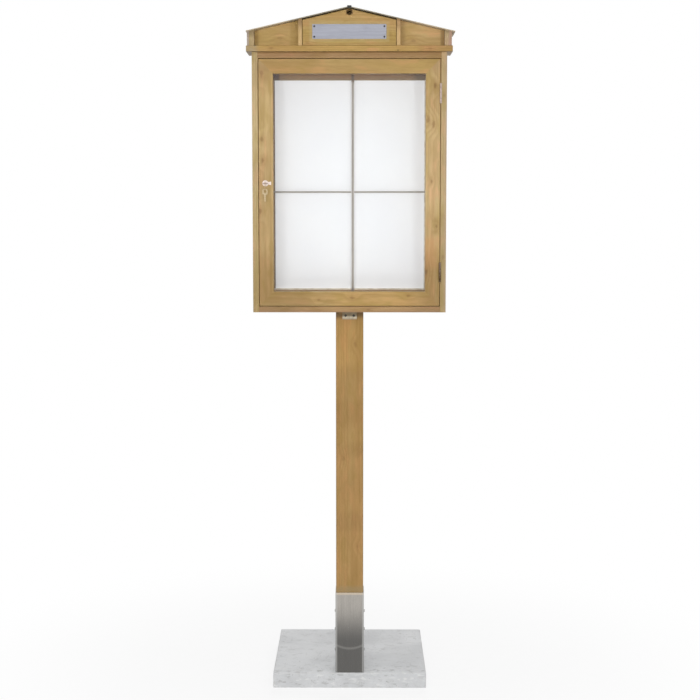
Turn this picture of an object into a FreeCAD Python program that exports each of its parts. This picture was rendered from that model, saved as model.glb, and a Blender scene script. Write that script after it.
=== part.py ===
import FreeCAD, Part
import math
import os

# Lockable notice board: a glazed wooden case with a small gabled roof, hung on the front of a
# square post that stands in a steel foot bolted to a concrete slab.
# Millimetres. The origin is the centre of the slab's underside, +X to the viewer's right,
# -Y towards the viewer, +Z up.

Vector = FreeCAD.Vector
Rotation = FreeCAD.Rotation
Placement = FreeCAD.Placement

X_AXIS = Vector(1, 0, 0)
Y_AXIS = Vector(0, 1, 0)
Z_AXIS = Vector(0, 0, 1)

# Concrete slab
slab_width = 500.0
slab_depth = 500.0
slab_thickness = 50.0
slab_arris = 3.0

# Post and its steel foot
post_width = 88.0
post_arris = 3.0
post_play = 0.5
post_top_drop = 50.0
post_foot_gap = 0.5
sleeve_wall = 2.0
sleeve_height = 267.0
sleeve_corner = 6.0
sleeve_floor = 5.0
sleeve_setback = 3.0
sleeve_screw_diameter = 5.0
sleeve_screw_length = 32.0
sleeve_screw_heights = (195.0, 134.0, 65.0)

# Anchor bolts through the foot and the slab
anchor_diameter = 12.0
anchor_spacing = 46.0
anchor_flats = 19.0
anchor_head_height = 7.5
anchor_nut_height = 10.0
anchor_nut_cover = 3.0
anchor_washer_diameter = 28.0
anchor_washer_thickness = 2.5
anchor_hole_play = 0.5
anchor_recess_play = 2.0

# Case
case_width = 600.0
case_height = 800.0
case_depth = 114.0
case_bottom = 1240.0
case_board = 18.0
case_arris = 1.5
case_screw_diameter = 4.0
case_screw_length = 45.0
case_screw_inset = 25.0
back_thickness = 9.0
back_rebate = 9.0
rebate_play = 0.3
post_screw_diameter = 6.0
post_screw_length = 60.0
post_screw_spacing = 50.0
post_screw_inset = 70.0

# White board in the case and the battens that clamp it
pin_board_thickness = 6.0
pin_board_play = 0.5
batten_thickness = 12.0
batten_top_height = 60.0
batten_bottom_height = 52.0
batten_side_width = 47.0
batten_play = 0.3

# Two flat strips that divide the board into four fields
strip_thickness = 3.0
strip_upright_width = 9.0
strip_upright_offset = 10.0
strip_level_width = 5.0
strip_level_drop = 26.0
strip_end_gap = 3.0
strip_play = 0.15
strip_screw_diameter = 2.0
strip_screw_length = 11.0
strip_screw_inset = 12.0

# Strips that stop the closed door
stop_size = 10.0
stop_gap = 0.3

# Glazed door, four mitred members
door_gap = 2.0
door_member = 45.0
door_thickness = 22.0
door_arris = 1.5
glass_rebate_width = 8.0
glass_rebate_depth = 12.0
glass_thickness = 3.0
glass_play = 0.8
dowel_diameter = 8.0
dowel_length = 36.0
dowel_play = 0.1

# Butt hinges, with the pin just in front of the door's face
hinge_height = 60.0
hinge_inset = 105.0
hinge_leaf_width = 20.0
hinge_leaf_thickness = 1.5
hinge_leaf_gap = 0.2
hinge_barrel_diameter = 7.0
hinge_barrel_clearance = 0.2
hinge_pin_diameter = 3.6
hinge_pin_play = 0.05
hinge_pin_head = 1.2
hinge_knuckles = 5
hinge_knuckle_gap = 0.3
hinge_screw_diameter = 3.0
hinge_screw_length = 15.0
hinge_screw_spacing = 21.0

# Cam lock with a round face
lock_inset = 20.0
lock_face_diameter = 19.0
lock_face_thickness = 2.2
lock_tab_reach = 18.0
lock_tab_neck = 7.0
lock_tab_end = 12.0
lock_tab_thickness = 1.6
lock_body_diameter = 16.0
lock_body_overrun = 1.0
lock_hole_play = 0.2
lock_nut_flats = 21.0
lock_nut_height = 4.5
lock_nut_play = 0.1
plug_diameter = 11.0
plug_play = 0.05
plug_recess = 0.3
tail_size = 6.0
tail_play = 0.1
cam_thickness = 2.0
cam_width = 13.0
cam_clearance = 0.2
cam_end_gap = 1.0
cam_screw_diameter = 4.0
cam_screw_length = 9.0

# Angle keeper for the cam
keeper_thickness = 2.0
keeper_reach = 9.0
keeper_height = 30.0
keeper_leg = 28.0
keeper_gap = 0.3
keeper_screw_diameter = 3.0
keeper_screw_length = 14.0

# Keys and their ring
key_thickness = 2.0
key_blade_width = 6.0
key_blade_length = 22.0
key_bow_width = 16.0
key_bow_length = 17.0
key_hole_diameter = 9.0
key_rim = 2.5
key_stand_off = 1.0
key_slot_play = 0.1
key_notch_depth = 1.1
key_notch_count = 4
key_notch_pitch = 3.6
key_first_notch = 6.0
ring_radius = 12.0
ring_wire = 1.6
ring_rim_gap = 0.15
spare_key_gap = 0.2

# Ledge board over the case
ledge_thickness = 18.0
ledge_overhang = 20.0
ledge_side_overhang = 16.0
ledge_arris = 2.0
ledge_screw_diameter = 4.0
ledge_screw_length = 32.0
ledge_screw_pitch = 220.0

# Roof box and its covering
roof_side_inset = 3.0
roof_setback = 3.0
roof_slope = 13.0
roof_eaves = 45.8
roof_board = 22.0
recess_depth = 30.0
inner_board = 12.0
upright_width = 12.0
upright_centre = 150.5
roof_board_arris = 1.0
panel_thickness = 18.0
panel_side_gap = 1.5
panel_top_gap = 5.0
panel_foot_gap = 0.2
panel_setback = 1.0
panel_hole_diameter = 17.0
panel_hole_drop = 10.0
cleat_width = 20.0
sheet_thickness = 3.0
sheet_left_overhang = 3.0
sheet_right_overhang = 10.0
sheet_front_overhang = 3.0
sheet_seat = 0.1
cap_width = 13.0
cap_thickness = 2.0
cap_front_drop = 8.0
roof_screw_diameter = 3.5
roof_screw_length = 25.0

# Bare name plate on the gable
plate_width = 226.0
plate_height = 44.5
plate_thickness = 1.5
plate_corner = 1.5
plate_centre_drop = 76.0
plate_screw_inset_x = 6.0
plate_screw_inset_z = 6.5
plate_screw_diameter = 3.0
plate_screw_length = 14.0

# Angle bracket under the case
bracket_width = 46.0
bracket_leg = 31.0
bracket_thickness = 2.0
bracket_bend_radius = 3.0
bracket_screw_spacing = 26.0
bracket_screw_diameter = 4.0
bracket_screw_length = 16.0

# Radial room round every screw
screw_play = 0.12

# Places worked out from the sizes above
post_front = -slab_depth / 2 + sleeve_setback + sleeve_wall + post_play
post_centre = post_front + post_width / 2
post_foot = slab_thickness + sleeve_floor + anchor_head_height + post_foot_gap
case_half = case_width / 2
case_inner_half = case_half - case_board
case_top = case_bottom + case_height
case_floor = case_bottom + case_board
case_ceiling = case_top - case_board
case_back = post_front
case_front = case_back - case_depth
post_top = case_top - post_top_drop
back_front = case_back - back_thickness
pin_board_front = back_front - pin_board_thickness
batten_front = pin_board_front - batten_thickness
strip_front = batten_front - strip_thickness

door_half = case_inner_half - door_gap
door_bottom = case_floor + door_gap
door_top = case_ceiling - door_gap
door_middle = (door_bottom + door_top) / 2
door_front = case_front
door_back = door_front + door_thickness
opening_half = door_half - door_member
glass_front = door_back - glass_rebate_depth
glass_back = glass_front + glass_thickness

hinge_axis_x = case_inner_half - door_gap / 2
hinge_barrel_radius = hinge_barrel_diameter / 2
hinge_axis_y = door_front - hinge_barrel_radius - hinge_barrel_clearance
hinge_mortise = hinge_leaf_thickness - (door_gap - hinge_leaf_gap) / 2
hinge_leaf_end = door_front + hinge_leaf_width
hinge_centres = (door_bottom + hinge_inset, door_top - hinge_inset)

lock_x = -door_half + lock_inset
lock_z = door_middle
lock_front = door_front - lock_face_thickness
lock_rear = door_back + lock_nut_height + lock_body_overrun
cam_front = lock_rear + cam_clearance
cam_back = cam_front + cam_thickness
cam_reach = lock_inset + door_gap - keeper_thickness - cam_end_gap
keeper_back = cam_front - keeper_gap
keeper_front = keeper_back - keeper_thickness
plug_front = lock_front + plug_recess
key_shoulder = plug_front - key_stand_off
key_end = key_shoulder - key_bow_length
key_hole_radius = key_hole_diameter / 2
ring_y = key_end + key_rim / 2
rim_corner = math.hypot(key_rim / 2, key_thickness / 2)
ring_inner_radius = ring_radius - ring_wire / 2
ring_centre_z = lock_z - (ring_inner_radius - rim_corner - ring_rim_gap)
ring_bottom_z = ring_centre_z - ring_radius

ledge_bottom = case_top
ledge_top = ledge_bottom + ledge_thickness
ledge_front = case_front - ledge_overhang
ledge_half = case_half + ledge_side_overhang
roof_half = ledge_half - roof_side_inset
roof_front = ledge_front + roof_setback
roof_back = case_back
roof_fall = math.tan(math.radians(roof_slope))
roof_peak = ledge_top + roof_eaves + roof_half * roof_fall
sheet_drop = sheet_thickness / math.cos(math.radians(roof_slope))
sheet_front = roof_front - sheet_front_overhang
recess_front = roof_front + recess_depth
panel_front = roof_front + panel_setback
panel_back = panel_front + panel_thickness
upright_inner = upright_centre - upright_width / 2
panel_half = upright_inner - panel_side_gap
plate_back = panel_front
plate_front = plate_back - plate_thickness
plate_middle = roof_peak - plate_centre_drop
hole_middle = roof_peak - sheet_drop - panel_top_gap - panel_hole_drop

FAR = 1000.0


def box(x0, x1, y0, y1, z0, z1):
    """A box between two values on each axis."""
    return Part.makeBox(x1 - x0, y1 - y0, z1 - z0, Vector(x0, y0, z0))


def rod(start, direction, radius, length):
    """A round bar that starts at a point and runs along a direction."""
    return Part.makeCylinder(radius, length, start, direction)


def prism_y(points, y0, y1):
    """A solid with its outline in XZ points, from y0 to y1."""
    corners = [Vector(x, y0, z) for x, z in points]
    corners.append(corners[0])
    return Part.Face(Part.makePolygon(corners)).extrude(Vector(0, y1 - y0, 0))


def prism_x(points, x0, x1):
    """A solid with its outline in YZ points, from x0 to x1."""
    corners = [Vector(x0, y, z) for y, z in points]
    corners.append(corners[0])
    return Part.Face(Part.makePolygon(corners)).extrude(Vector(x1 - x0, 0, 0))


def hexagon(centre, flats, height):
    """A six-sided bar standing on a point, along +Z."""
    radius = flats / math.sqrt(3)
    corners = []
    for side in range(6):
        angle = math.radians(60 * side)
        corners.append(centre + Vector(radius * math.cos(angle), radius * math.sin(angle), 0))
    corners.append(corners[0])
    return Part.Face(Part.makePolygon(corners)).extrude(Vector(0, 0, height))


def point_along(shape, start, direction):
    """Turn a shape drawn along +Z so that it runs along a direction from a start point."""
    placed = shape.copy()
    placed.Placement = Placement(start, Rotation(Z_AXIS, direction)).multiply(placed.Placement)
    return placed


def rounded(shape, radius, chosen):
    """Round the edges that the test picks."""
    edges = [edge for edge in shape.Edges if chosen(edge)]
    return shape.makeFillet(radius, edges)


def edge_middle(edge):
    return edge.CenterOfMass


def runs_along(edge, axis):
    """True for a straight edge that is parallel to an axis."""
    if not isinstance(edge.Curve, Part.Line):
        return False
    return abs(edge.Curve.Direction.dot(axis)) > 0.999


def front_edges(axis, limit):
    """A test for straight edges along an axis that lie in front of a plane."""
    return lambda edge: runs_along(edge, axis) and edge_middle(edge).y < limit


def screw(kind, diameter, length, play=0.0):
    """A screw along +Z from its seat, or with play the hole that it needs.

    The head of a pan or hex screw stands below the seat, a countersunk one lies flush in it.
    """
    radius = diameter / 2 + play
    tip = diameter
    body = rod(Vector(0, 0, 0), Z_AXIS, radius, length - tip)
    point = Part.makeCone(radius, radius * 0.3, tip, Vector(0, 0, length - tip), Z_AXIS)
    body = body.fuse(point)
    if kind == "countersunk":
        head_height = diameter / 2
        head = Part.makeCone(diameter + play, radius, head_height, Vector(0, 0, 0), Z_AXIS)
        return body.fuse(head).removeSplitter()
    if play:
        return body.removeSplitter()
    if kind == "hex":
        head = hexagon(Vector(0, 0, -anchor_head_height), anchor_flats, anchor_head_height)
    else:
        head_height = 0.6 * diameter
        head = Part.makeCone(0.6 * diameter, diameter, head_height / 2, Vector(0, 0, -head_height), Z_AXIS)
        rim = rod(Vector(0, 0, -head_height / 2), Z_AXIS, diameter, head_height / 2)
        head = head.fuse(rim)
    return body.fuse(head).removeSplitter()


def screws(kind, diameter, length, places):
    """Separate screws, one for each place and direction."""
    shapes = [point_along(screw(kind, diameter, length), start, way) for start, way in places]
    return Part.makeCompound(shapes)


def hinge_screws(side):
    return screws("countersunk", hinge_screw_diameter, hinge_screw_length, hinge_screw_places(side))


def drilled(shape, kind, diameter, length, places):
    """Cut the holes for a set of screws out of one piece."""
    tools = [point_along(screw(kind, diameter, length, screw_play), start, way) for start, way in places]
    return shape.cut(tools)


# Every set of screws is a list of places, shared by the screws and by the pieces they hold

def sleeve_screw_places():
    places = []
    outer = post_width / 2 + post_play + sleeve_wall
    for height in sleeve_screw_heights:
        for side in (-1, 1):
            start = Vector(side * outer, post_centre, slab_thickness + height)
            places.append((start, Vector(-side, 0, 0)))
    return places


def post_screw_places():
    places = []
    for z in (case_bottom + post_screw_inset, case_top - post_top_drop - post_screw_inset):
        for side in (-1, 1):
            places.append((Vector(side * post_screw_spacing / 2, back_front, z), Y_AXIS))
    return places


def case_screw_places():
    places = []
    for z in (case_bottom + case_board / 2, case_top - case_board / 2):
        for side in (-1, 1):
            for y in (case_front + case_screw_inset, case_back - case_screw_inset):
                places.append((Vector(side * case_half, y, z), Vector(-side, 0, 0)))
    return places


def ledge_screw_places():
    places = []
    for step in (-1, 0, 1):
        y = (case_front + case_back) / 2
        places.append((Vector(step * ledge_screw_pitch, y, case_ceiling), Z_AXIS))
    return places


def bracket_post_places():
    z = case_bottom - bracket_leg * 0.6
    front = post_front - bracket_thickness
    return [(Vector(side * bracket_screw_spacing / 2, front, z), Y_AXIS) for side in (-1, 1)]


def bracket_case_places():
    y = post_front - bracket_leg * 0.6
    z = case_bottom - bracket_thickness
    return [(Vector(side * bracket_screw_spacing / 2, y, z), Z_AXIS) for side in (-1, 1)]


def hinge_screw_places(side):
    """Screws of one leaf of each hinge: side 1 goes into the case, side -1 into the door."""
    places = []
    x = hinge_axis_x + side * hinge_leaf_gap / 2
    y = (door_front + hinge_leaf_end) / 2
    for centre in hinge_centres:
        for step in (-1, 0, 1):
            places.append((Vector(x, y, centre + step * hinge_screw_spacing), Vector(side, 0, 0)))
    return places


def cam_screw_places():
    return [(Vector(lock_x, cam_back + cam_clearance, lock_z), Vector(0, -1, 0))]


def keeper_screw_places():
    x = -case_inner_half + keeper_thickness
    y = keeper_front + keeper_leg * 0.65
    return [(Vector(x, y, lock_z + side * keeper_height / 4), Vector(-1, 0, 0)) for side in (-1, 1)]


def strip_upright_places():
    places = []
    for z in (case_floor + strip_screw_inset, case_ceiling - strip_screw_inset):
        places.append((Vector(strip_upright_offset, strip_front, z), Y_AXIS))
    return places


def strip_level_places():
    places = []
    for side in (-1, 1):
        x = side * (case_inner_half - strip_screw_inset)
        places.append((Vector(x, strip_front, door_middle - strip_level_drop), Y_AXIS))
    return places


def plate_screw_places():
    places = []
    for side in (-1, 1):
        for level in (-1, 1):
            x = side * (plate_width / 2 - plate_screw_inset_x)
            z = plate_middle + level * (plate_height / 2 - plate_screw_inset_z)
            places.append((Vector(x, plate_front, z), Y_AXIS))
    return places


def roof_screw_places():
    """Screws through the covering into both gable boards and into the end board, on each slope."""
    places = []
    slope = math.radians(roof_slope)
    recess_middle = recess_front + inner_board / 2
    back_middle = roof_back - inner_board / 2
    end_middle = roof_half - roof_board / 2
    spots = [(end_middle, (recess_middle + back_middle) / 2)]
    for x in (roof_half * 0.2, roof_half * 0.72):
        spots += [(x, recess_middle), (x, back_middle)]
    for side in (-1, 1):
        for x, y in spots:
            start = Vector(side * x, y, roof_peak - x * roof_fall)
            places.append((start, Vector(-side * math.sin(slope), 0, -math.cos(slope))))
    return places


def roof_underside(x, clearance=0.0):
    """Height of the covering's underside at a distance from the ridge."""
    return roof_peak - sheet_drop - abs(x) * roof_fall - clearance


# Foot

def base_slab():
    slab = box(-slab_width / 2, slab_width / 2, -slab_depth / 2, slab_depth / 2, 0, slab_thickness)
    slab = rounded(slab, slab_arris, lambda edge: edge_middle(edge).z > slab_thickness / 4)
    for x in (-anchor_spacing / 2, anchor_spacing / 2):
        foot = Vector(x, post_centre, 0)
        slab = slab.cut(rod(foot, Z_AXIS, anchor_diameter / 2 + anchor_hole_play, slab_thickness))
        recess = anchor_washer_thickness + anchor_nut_height + anchor_nut_cover
        slab = slab.cut(rod(foot, Z_AXIS, anchor_washer_diameter / 2 + anchor_recess_play, recess))
    return slab


def square_bar(half, corner, z0, z1):
    """A square bar round the post's axis with rounded upright edges."""
    bar = box(-half, half, post_centre - half, post_centre + half, z0, z1)
    return rounded(bar, corner, lambda edge: runs_along(edge, Z_AXIS))


def post_sleeve():
    inner_half = post_width / 2 + post_play
    top = slab_thickness + sleeve_height
    sleeve = square_bar(inner_half + sleeve_wall, sleeve_corner, slab_thickness, top)
    inside = square_bar(inner_half, sleeve_corner - sleeve_wall, slab_thickness + sleeve_floor, top + 1)
    sleeve = sleeve.cut(inside)
    for x in (-anchor_spacing / 2, anchor_spacing / 2):
        foot = Vector(x, post_centre, slab_thickness)
        sleeve = sleeve.cut(rod(foot, Z_AXIS, anchor_diameter / 2 + anchor_hole_play, sleeve_floor))
    return drilled(sleeve, "pan", sleeve_screw_diameter, sleeve_screw_length, sleeve_screw_places())


def anchor_parts():
    """Bolts from inside the foot, with washers and nuts in the recesses under the slab."""
    bolts = []
    washers = []
    nuts = []
    seat = slab_thickness + sleeve_floor
    washer_bottom = anchor_nut_cover + anchor_nut_height
    bore = anchor_diameter / 2 + screw_play
    for x in (-anchor_spacing / 2, anchor_spacing / 2):
        length = seat - anchor_nut_cover
        shank = rod(Vector(x, post_centre, anchor_nut_cover), Z_AXIS, anchor_diameter / 2, length)
        head = hexagon(Vector(x, post_centre, seat), anchor_flats, anchor_head_height)
        bolts.append(shank.fuse(head).removeSplitter())
        foot = Vector(x, post_centre, washer_bottom)
        washer = rod(foot, Z_AXIS, anchor_washer_diameter / 2, anchor_washer_thickness)
        washers.append(washer.cut(rod(foot, Z_AXIS, bore, anchor_washer_thickness)))
        foot = Vector(x, post_centre, anchor_nut_cover)
        nut = hexagon(foot, anchor_flats, anchor_nut_height)
        nuts.append(nut.cut(rod(foot, Z_AXIS, bore, anchor_nut_height)))
    return Part.makeCompound(bolts), Part.makeCompound(washers), Part.makeCompound(nuts)


def post():
    bar = square_bar(post_width / 2, post_arris, post_foot, post_top)
    bar = rounded(bar, post_arris, lambda edge: edge_middle(edge).z > post_top - 1)
    bar = drilled(bar, "pan", sleeve_screw_diameter, sleeve_screw_length, sleeve_screw_places())
    bar = drilled(bar, "pan", bracket_screw_diameter, bracket_screw_length, bracket_post_places())
    return drilled(bar, "countersunk", post_screw_diameter, post_screw_length, post_screw_places())


def angle_bracket():
    far = post_front - bracket_leg
    low = case_bottom - bracket_leg
    inner = bracket_thickness
    outline = [
        (post_front, case_bottom),
        (far, case_bottom),
        (far, case_bottom - inner),
        (post_front - inner, case_bottom - inner),
        (post_front - inner, low),
        (post_front, low),
    ]
    bracket = prism_x(outline, -bracket_width / 2, bracket_width / 2)

    def inner_corner(edge):
        middle = edge_middle(edge)
        near_y = abs(middle.y - (post_front - inner)) < 0.1
        near_z = abs(middle.z - (case_bottom - inner)) < 0.1
        return runs_along(edge, X_AXIS) and near_y and near_z

    bracket = rounded(bracket, bracket_bend_radius, inner_corner)
    bracket = drilled(bracket, "pan", bracket_screw_diameter, bracket_screw_length, bracket_post_places())
    return drilled(bracket, "pan", bracket_screw_diameter, bracket_screw_length, bracket_case_places())


# Case

def case_side(side):
    """An upright board with a rebate for the back panel; side is -1 left or 1 right."""
    x0, x1 = sorted((side * case_half, side * case_inner_half))
    board = box(x0, x1, case_front, case_back, case_bottom, case_top)
    board = rounded(board, case_arris, front_edges(Z_AXIS, case_back - 1))
    x0, x1 = sorted((side * (case_inner_half + back_rebate), side * (case_inner_half - 1)))
    low = case_floor - back_rebate
    high = case_ceiling + back_rebate
    board = board.cut(box(x0, x1, back_front - rebate_play, case_back + 1, low, high))
    board = drilled(board, "countersunk", case_screw_diameter, case_screw_length, case_screw_places())
    if side > 0:
        for centre in hinge_centres:
            board = board.cut(hinge_recess(centre, case_inner_half - 1, case_inner_half + hinge_mortise))
        return drilled(board, "countersunk", hinge_screw_diameter, hinge_screw_length, hinge_screw_places(1))
    return drilled(board, "countersunk", keeper_screw_diameter, keeper_screw_length, keeper_screw_places())


def case_level_board(z0, z1, rebate_z0, rebate_z1):
    """The top or bottom board, between the two sides."""
    board = box(-case_inner_half, case_inner_half, case_front, case_back, z0, z1)
    board = rounded(board, case_arris, front_edges(X_AXIS, case_back - 1))
    board = board.cut(box(-FAR, FAR, back_front - rebate_play, case_back + 1, rebate_z0, rebate_z1))
    return drilled(board, "countersunk", case_screw_diameter, case_screw_length, case_screw_places())


def case_top_board():
    board = case_level_board(case_ceiling, case_top, case_ceiling - 1, case_ceiling + back_rebate)
    return drilled(board, "countersunk", ledge_screw_diameter, ledge_screw_length, ledge_screw_places())


def case_bottom_board():
    board = case_level_board(case_bottom, case_floor, case_floor - back_rebate, case_floor + 1)
    return drilled(board, "pan", bracket_screw_diameter, bracket_screw_length, bracket_case_places())


def back_panel():
    half = case_inner_half + back_rebate - rebate_play
    low = case_floor - back_rebate + rebate_play
    high = case_ceiling + back_rebate - rebate_play
    panel = box(-half, half, back_front, case_back, low, high)
    return drilled(panel, "countersunk", post_screw_diameter, post_screw_length, post_screw_places())


def pin_board():
    half = case_inner_half - pin_board_play
    low = case_floor + pin_board_play
    high = case_ceiling - pin_board_play
    return box(-half, half, pin_board_front, back_front, low, high)


def batten(x0, x1, z0, z1, strip_places):
    bar = box(x0, x1, batten_front, pin_board_front, z0, z1)
    return drilled(bar, "pan", strip_screw_diameter, strip_screw_length, strip_places)


def battens():
    """Level battens right across the top and bottom, upright ones between them at the sides."""
    half = case_inner_half - batten_play
    low = case_floor + batten_play
    high = case_ceiling - batten_play
    top_edge = case_ceiling - batten_top_height
    bottom_edge = case_floor + batten_bottom_height
    inner = case_inner_half - batten_side_width
    top_batten = batten(-half, half, top_edge, high, strip_upright_places())
    bottom_batten = batten(-half, half, low, bottom_edge, strip_upright_places())
    left_batten = batten(-half, -inner, bottom_edge, top_edge, strip_level_places())
    right_batten = batten(inner, half, bottom_edge, top_edge, strip_level_places())
    level_pair = Part.makeCompound([top_batten, bottom_batten])
    upright_pair = Part.makeCompound([left_batten, right_batten])
    return level_pair, upright_pair


def strips():
    """Flat strips across the battens, halved where they cross."""
    middle = strip_front + strip_thickness / 2
    level_z = door_middle - strip_level_drop
    half_up = strip_upright_width / 2
    half_level = strip_level_width / 2
    left = strip_upright_offset - half_up
    right = strip_upright_offset + half_up
    low = case_floor + strip_end_gap
    high = case_ceiling - strip_end_gap
    upright = box(left, right, strip_front, batten_front, low, high)
    notch_low = level_z - half_level - strip_play
    notch_high = level_z + half_level + strip_play
    upright = upright.cut(box(-FAR, FAR, middle, batten_front + 1, notch_low, notch_high))
    reach = case_inner_half - strip_end_gap
    level = box(-reach, reach, strip_front, batten_front, level_z - half_level, level_z + half_level)
    level = level.cut(box(left - strip_play, right + strip_play, strip_front - 1, middle, 0, case_top))
    upright = drilled(upright, "pan", strip_screw_diameter, strip_screw_length, strip_upright_places())
    level = drilled(level, "pan", strip_screw_diameter, strip_screw_length, strip_level_places())
    return upright, level


def door_stops():
    """Strips along the top and bottom boards that the closed door meets."""
    front = door_back + stop_gap
    half = case_inner_half
    top_stop = box(-half, half, front, front + stop_size, case_ceiling - stop_size, case_ceiling)
    bottom_stop = box(-half, half, front, front + stop_size, case_floor, case_floor + stop_size)
    return Part.makeCompound([top_stop, bottom_stop])


# Door

def door_members():
    """Four rebated members with their ends cut to 45 degrees, and the dowels in the mitres."""
    height = door_top - door_bottom
    width = 2 * door_half
    corners = (
        ("door_rail_bottom", width, -door_half, door_bottom, 0),
        ("door_stile_right", height, door_half, door_bottom, -90),
        ("door_rail_top", width, door_half, door_top, 180),
        ("door_stile_left", height, -door_half, door_top, 90),
    )
    dowels = [point_along(dowel(0), start, way) for start, way in dowel_places()]
    dowel_holes = [point_along(dowel(dowel_play), start, way) for start, way in dowel_places()]
    members = {}
    for name, length, x, z, angle in corners:
        member = door_member_bar(length)
        member.Placement = Placement(Vector(x, door_front, z), Rotation(Y_AXIS, angle))
        members[name] = member.cut(dowel_holes)
    members["door_stile_right"] = hinge_recesses(members["door_stile_right"])
    members["door_stile_left"] = lock_hole(members["door_stile_left"])
    return members, Part.makeCompound(dowels)


def door_member_bar(length):
    """One member along +X, with its outer edge at z 0 and its inner edge at z door_member."""
    bar = box(0, length, 0, door_thickness, 0, door_member)
    bar = rounded(bar, door_arris, front_edges(X_AXIS, 1))
    rebate_y = door_thickness - glass_rebate_depth
    rebate_z = door_member - glass_rebate_width
    bar = bar.cut(box(-1, length + 1, rebate_y, door_thickness + 1, rebate_z, door_member + 1))
    mitred = [(0, 0), (length, 0), (length - door_member, door_member), (door_member, door_member)]
    return bar.common(prism_y(mitred, -1, door_thickness + 1))


def dowel(play):
    return rod(Vector(0, 0, -play), Z_AXIS, dowel_diameter / 2 + play, dowel_length + 2 * play)


def dowel_places():
    """One dowel across the middle of each mitre, square to it."""
    places = []
    y = door_front + (door_thickness - glass_rebate_depth) / 2 + 1
    reach = dowel_length / 2 / math.sqrt(2)
    for side in (-1, 1):
        for level, z in ((-1, door_bottom), (1, door_top)):
            middle_x = side * (door_half - door_member / 2)
            middle_z = z - level * door_member / 2
            way = Vector(side, 0, level * -1)
            start = Vector(middle_x - side * reach, y, middle_z + level * reach)
            places.append((start, way))
    return places


def hinge_recess(centre, x0, x1):
    """The shallow recess for one leaf, open to the front."""
    half = hinge_height / 2
    return box(x0, x1, door_front - 1, hinge_leaf_end, centre - half, centre + half)


def hinge_recesses(stile):
    for centre in hinge_centres:
        stile = stile.cut(hinge_recess(centre, door_half - hinge_mortise, door_half + 1))
    return drilled(stile, "countersunk", hinge_screw_diameter, hinge_screw_length, hinge_screw_places(-1))


def lock_hole(stile):
    start = Vector(lock_x, door_front - 1, lock_z)
    return stile.cut(rod(start, Y_AXIS, lock_body_diameter / 2 + lock_hole_play, door_thickness + 2))


def glass_half_sizes():
    half_x = opening_half + glass_rebate_width - glass_play
    half_z = (door_top - door_bottom) / 2 - door_member + glass_rebate_width - glass_play
    return half_x, half_z


def door_glass():
    half_x, half_z = glass_half_sizes()
    return box(-half_x, half_x, glass_front, glass_back, door_middle - half_z, door_middle + half_z)


def glazing_beads():
    """Four beads that hold the pane in its rebate, flush with the inner edges of the frame."""
    half_x, half_z = glass_half_sizes()
    inner_x = half_x + glass_play - glass_rebate_width
    inner_z = half_z + glass_play - glass_rebate_width
    outer_x = half_x + glass_play - rebate_play
    outer_z = half_z + glass_play - rebate_play
    beads = []
    for side in (-1, 1):
        x0, x1 = sorted((side * inner_x, side * outer_x))
        beads.append(box(x0, x1, glass_back, door_back, door_middle - outer_z, door_middle + outer_z))
        z0, z1 = sorted((door_middle + side * inner_z, door_middle + side * outer_z))
        beads.append(box(-inner_x, inner_x, glass_back, door_back, z0, z1))
    return Part.makeCompound(beads)


# Hinges

def hinge_leaf(side, centre):
    """One leaf with its share of the knuckles: side 1 on the case, side -1 on the door."""
    half = hinge_height / 2
    pitch = hinge_height / hinge_knuckles
    near = hinge_axis_x + side * hinge_leaf_gap / 2
    far = near + side * hinge_leaf_thickness
    x0, x1 = sorted((near, far))
    neck_start = hinge_axis_y + hinge_barrel_radius + hinge_barrel_clearance
    leaf = box(x0, x1, neck_start, hinge_leaf_end, centre - half, centre + half)
    first = 0 if side > 0 else 1
    for index in range(first, hinge_knuckles, 2):
        low = centre - half + index * pitch
        high = low + pitch
        if index > 0:
            low += hinge_knuckle_gap / 2
        if index < hinge_knuckles - 1:
            high -= hinge_knuckle_gap / 2
        barrel = rod(Vector(hinge_axis_x, hinge_axis_y, low), Z_AXIS, hinge_barrel_radius, high - low)
        neck = box(x0, x1, hinge_axis_y, neck_start, low, high)
        leaf = leaf.fuse([barrel, neck])
    foot = Vector(hinge_axis_x, hinge_axis_y, centre - half)
    leaf = leaf.cut(rod(foot, Z_AXIS, hinge_pin_diameter / 2 + hinge_pin_play, hinge_height))
    leaf = leaf.removeSplitter()
    return drilled(leaf, "countersunk", hinge_screw_diameter, hinge_screw_length, hinge_screw_places(side))


def hinge_leaves(side):
    return Part.makeCompound([hinge_leaf(side, centre) for centre in hinge_centres])


def hinge_pins():
    """A headed pin through the knuckles of each hinge."""
    pins = []
    for centre in hinge_centres:
        foot = Vector(hinge_axis_x, hinge_axis_y, centre - hinge_height / 2)
        pin = rod(foot, Z_AXIS, hinge_pin_diameter / 2, hinge_height)
        seat = foot + Vector(0, 0, hinge_height)
        head = Part.makeCone(hinge_barrel_radius, hinge_pin_diameter / 2, hinge_pin_head, seat, Z_AXIS)
        pins.append(pin.fuse(head).removeSplitter())
    return Part.makeCompound(pins)


# Lock

def lock_tab():
    """The flared tab of the lock's face plate, which lies on the door to the right of the round face."""
    inner = lock_x + lock_face_diameter / 2 - 1
    outer = lock_x + lock_tab_reach
    outline = [
        (inner, lock_z - lock_tab_neck / 2),
        (outer, lock_z - lock_tab_end / 2),
        (outer, lock_z + lock_tab_end / 2),
        (inner, lock_z + lock_tab_neck / 2),
    ]
    tab = prism_y(outline, door_front - lock_tab_thickness, door_front)
    return rounded(tab, lock_tab_thickness, lambda edge: runs_along(edge, Y_AXIS) and edge_middle(edge).x > outer - 1)


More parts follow.
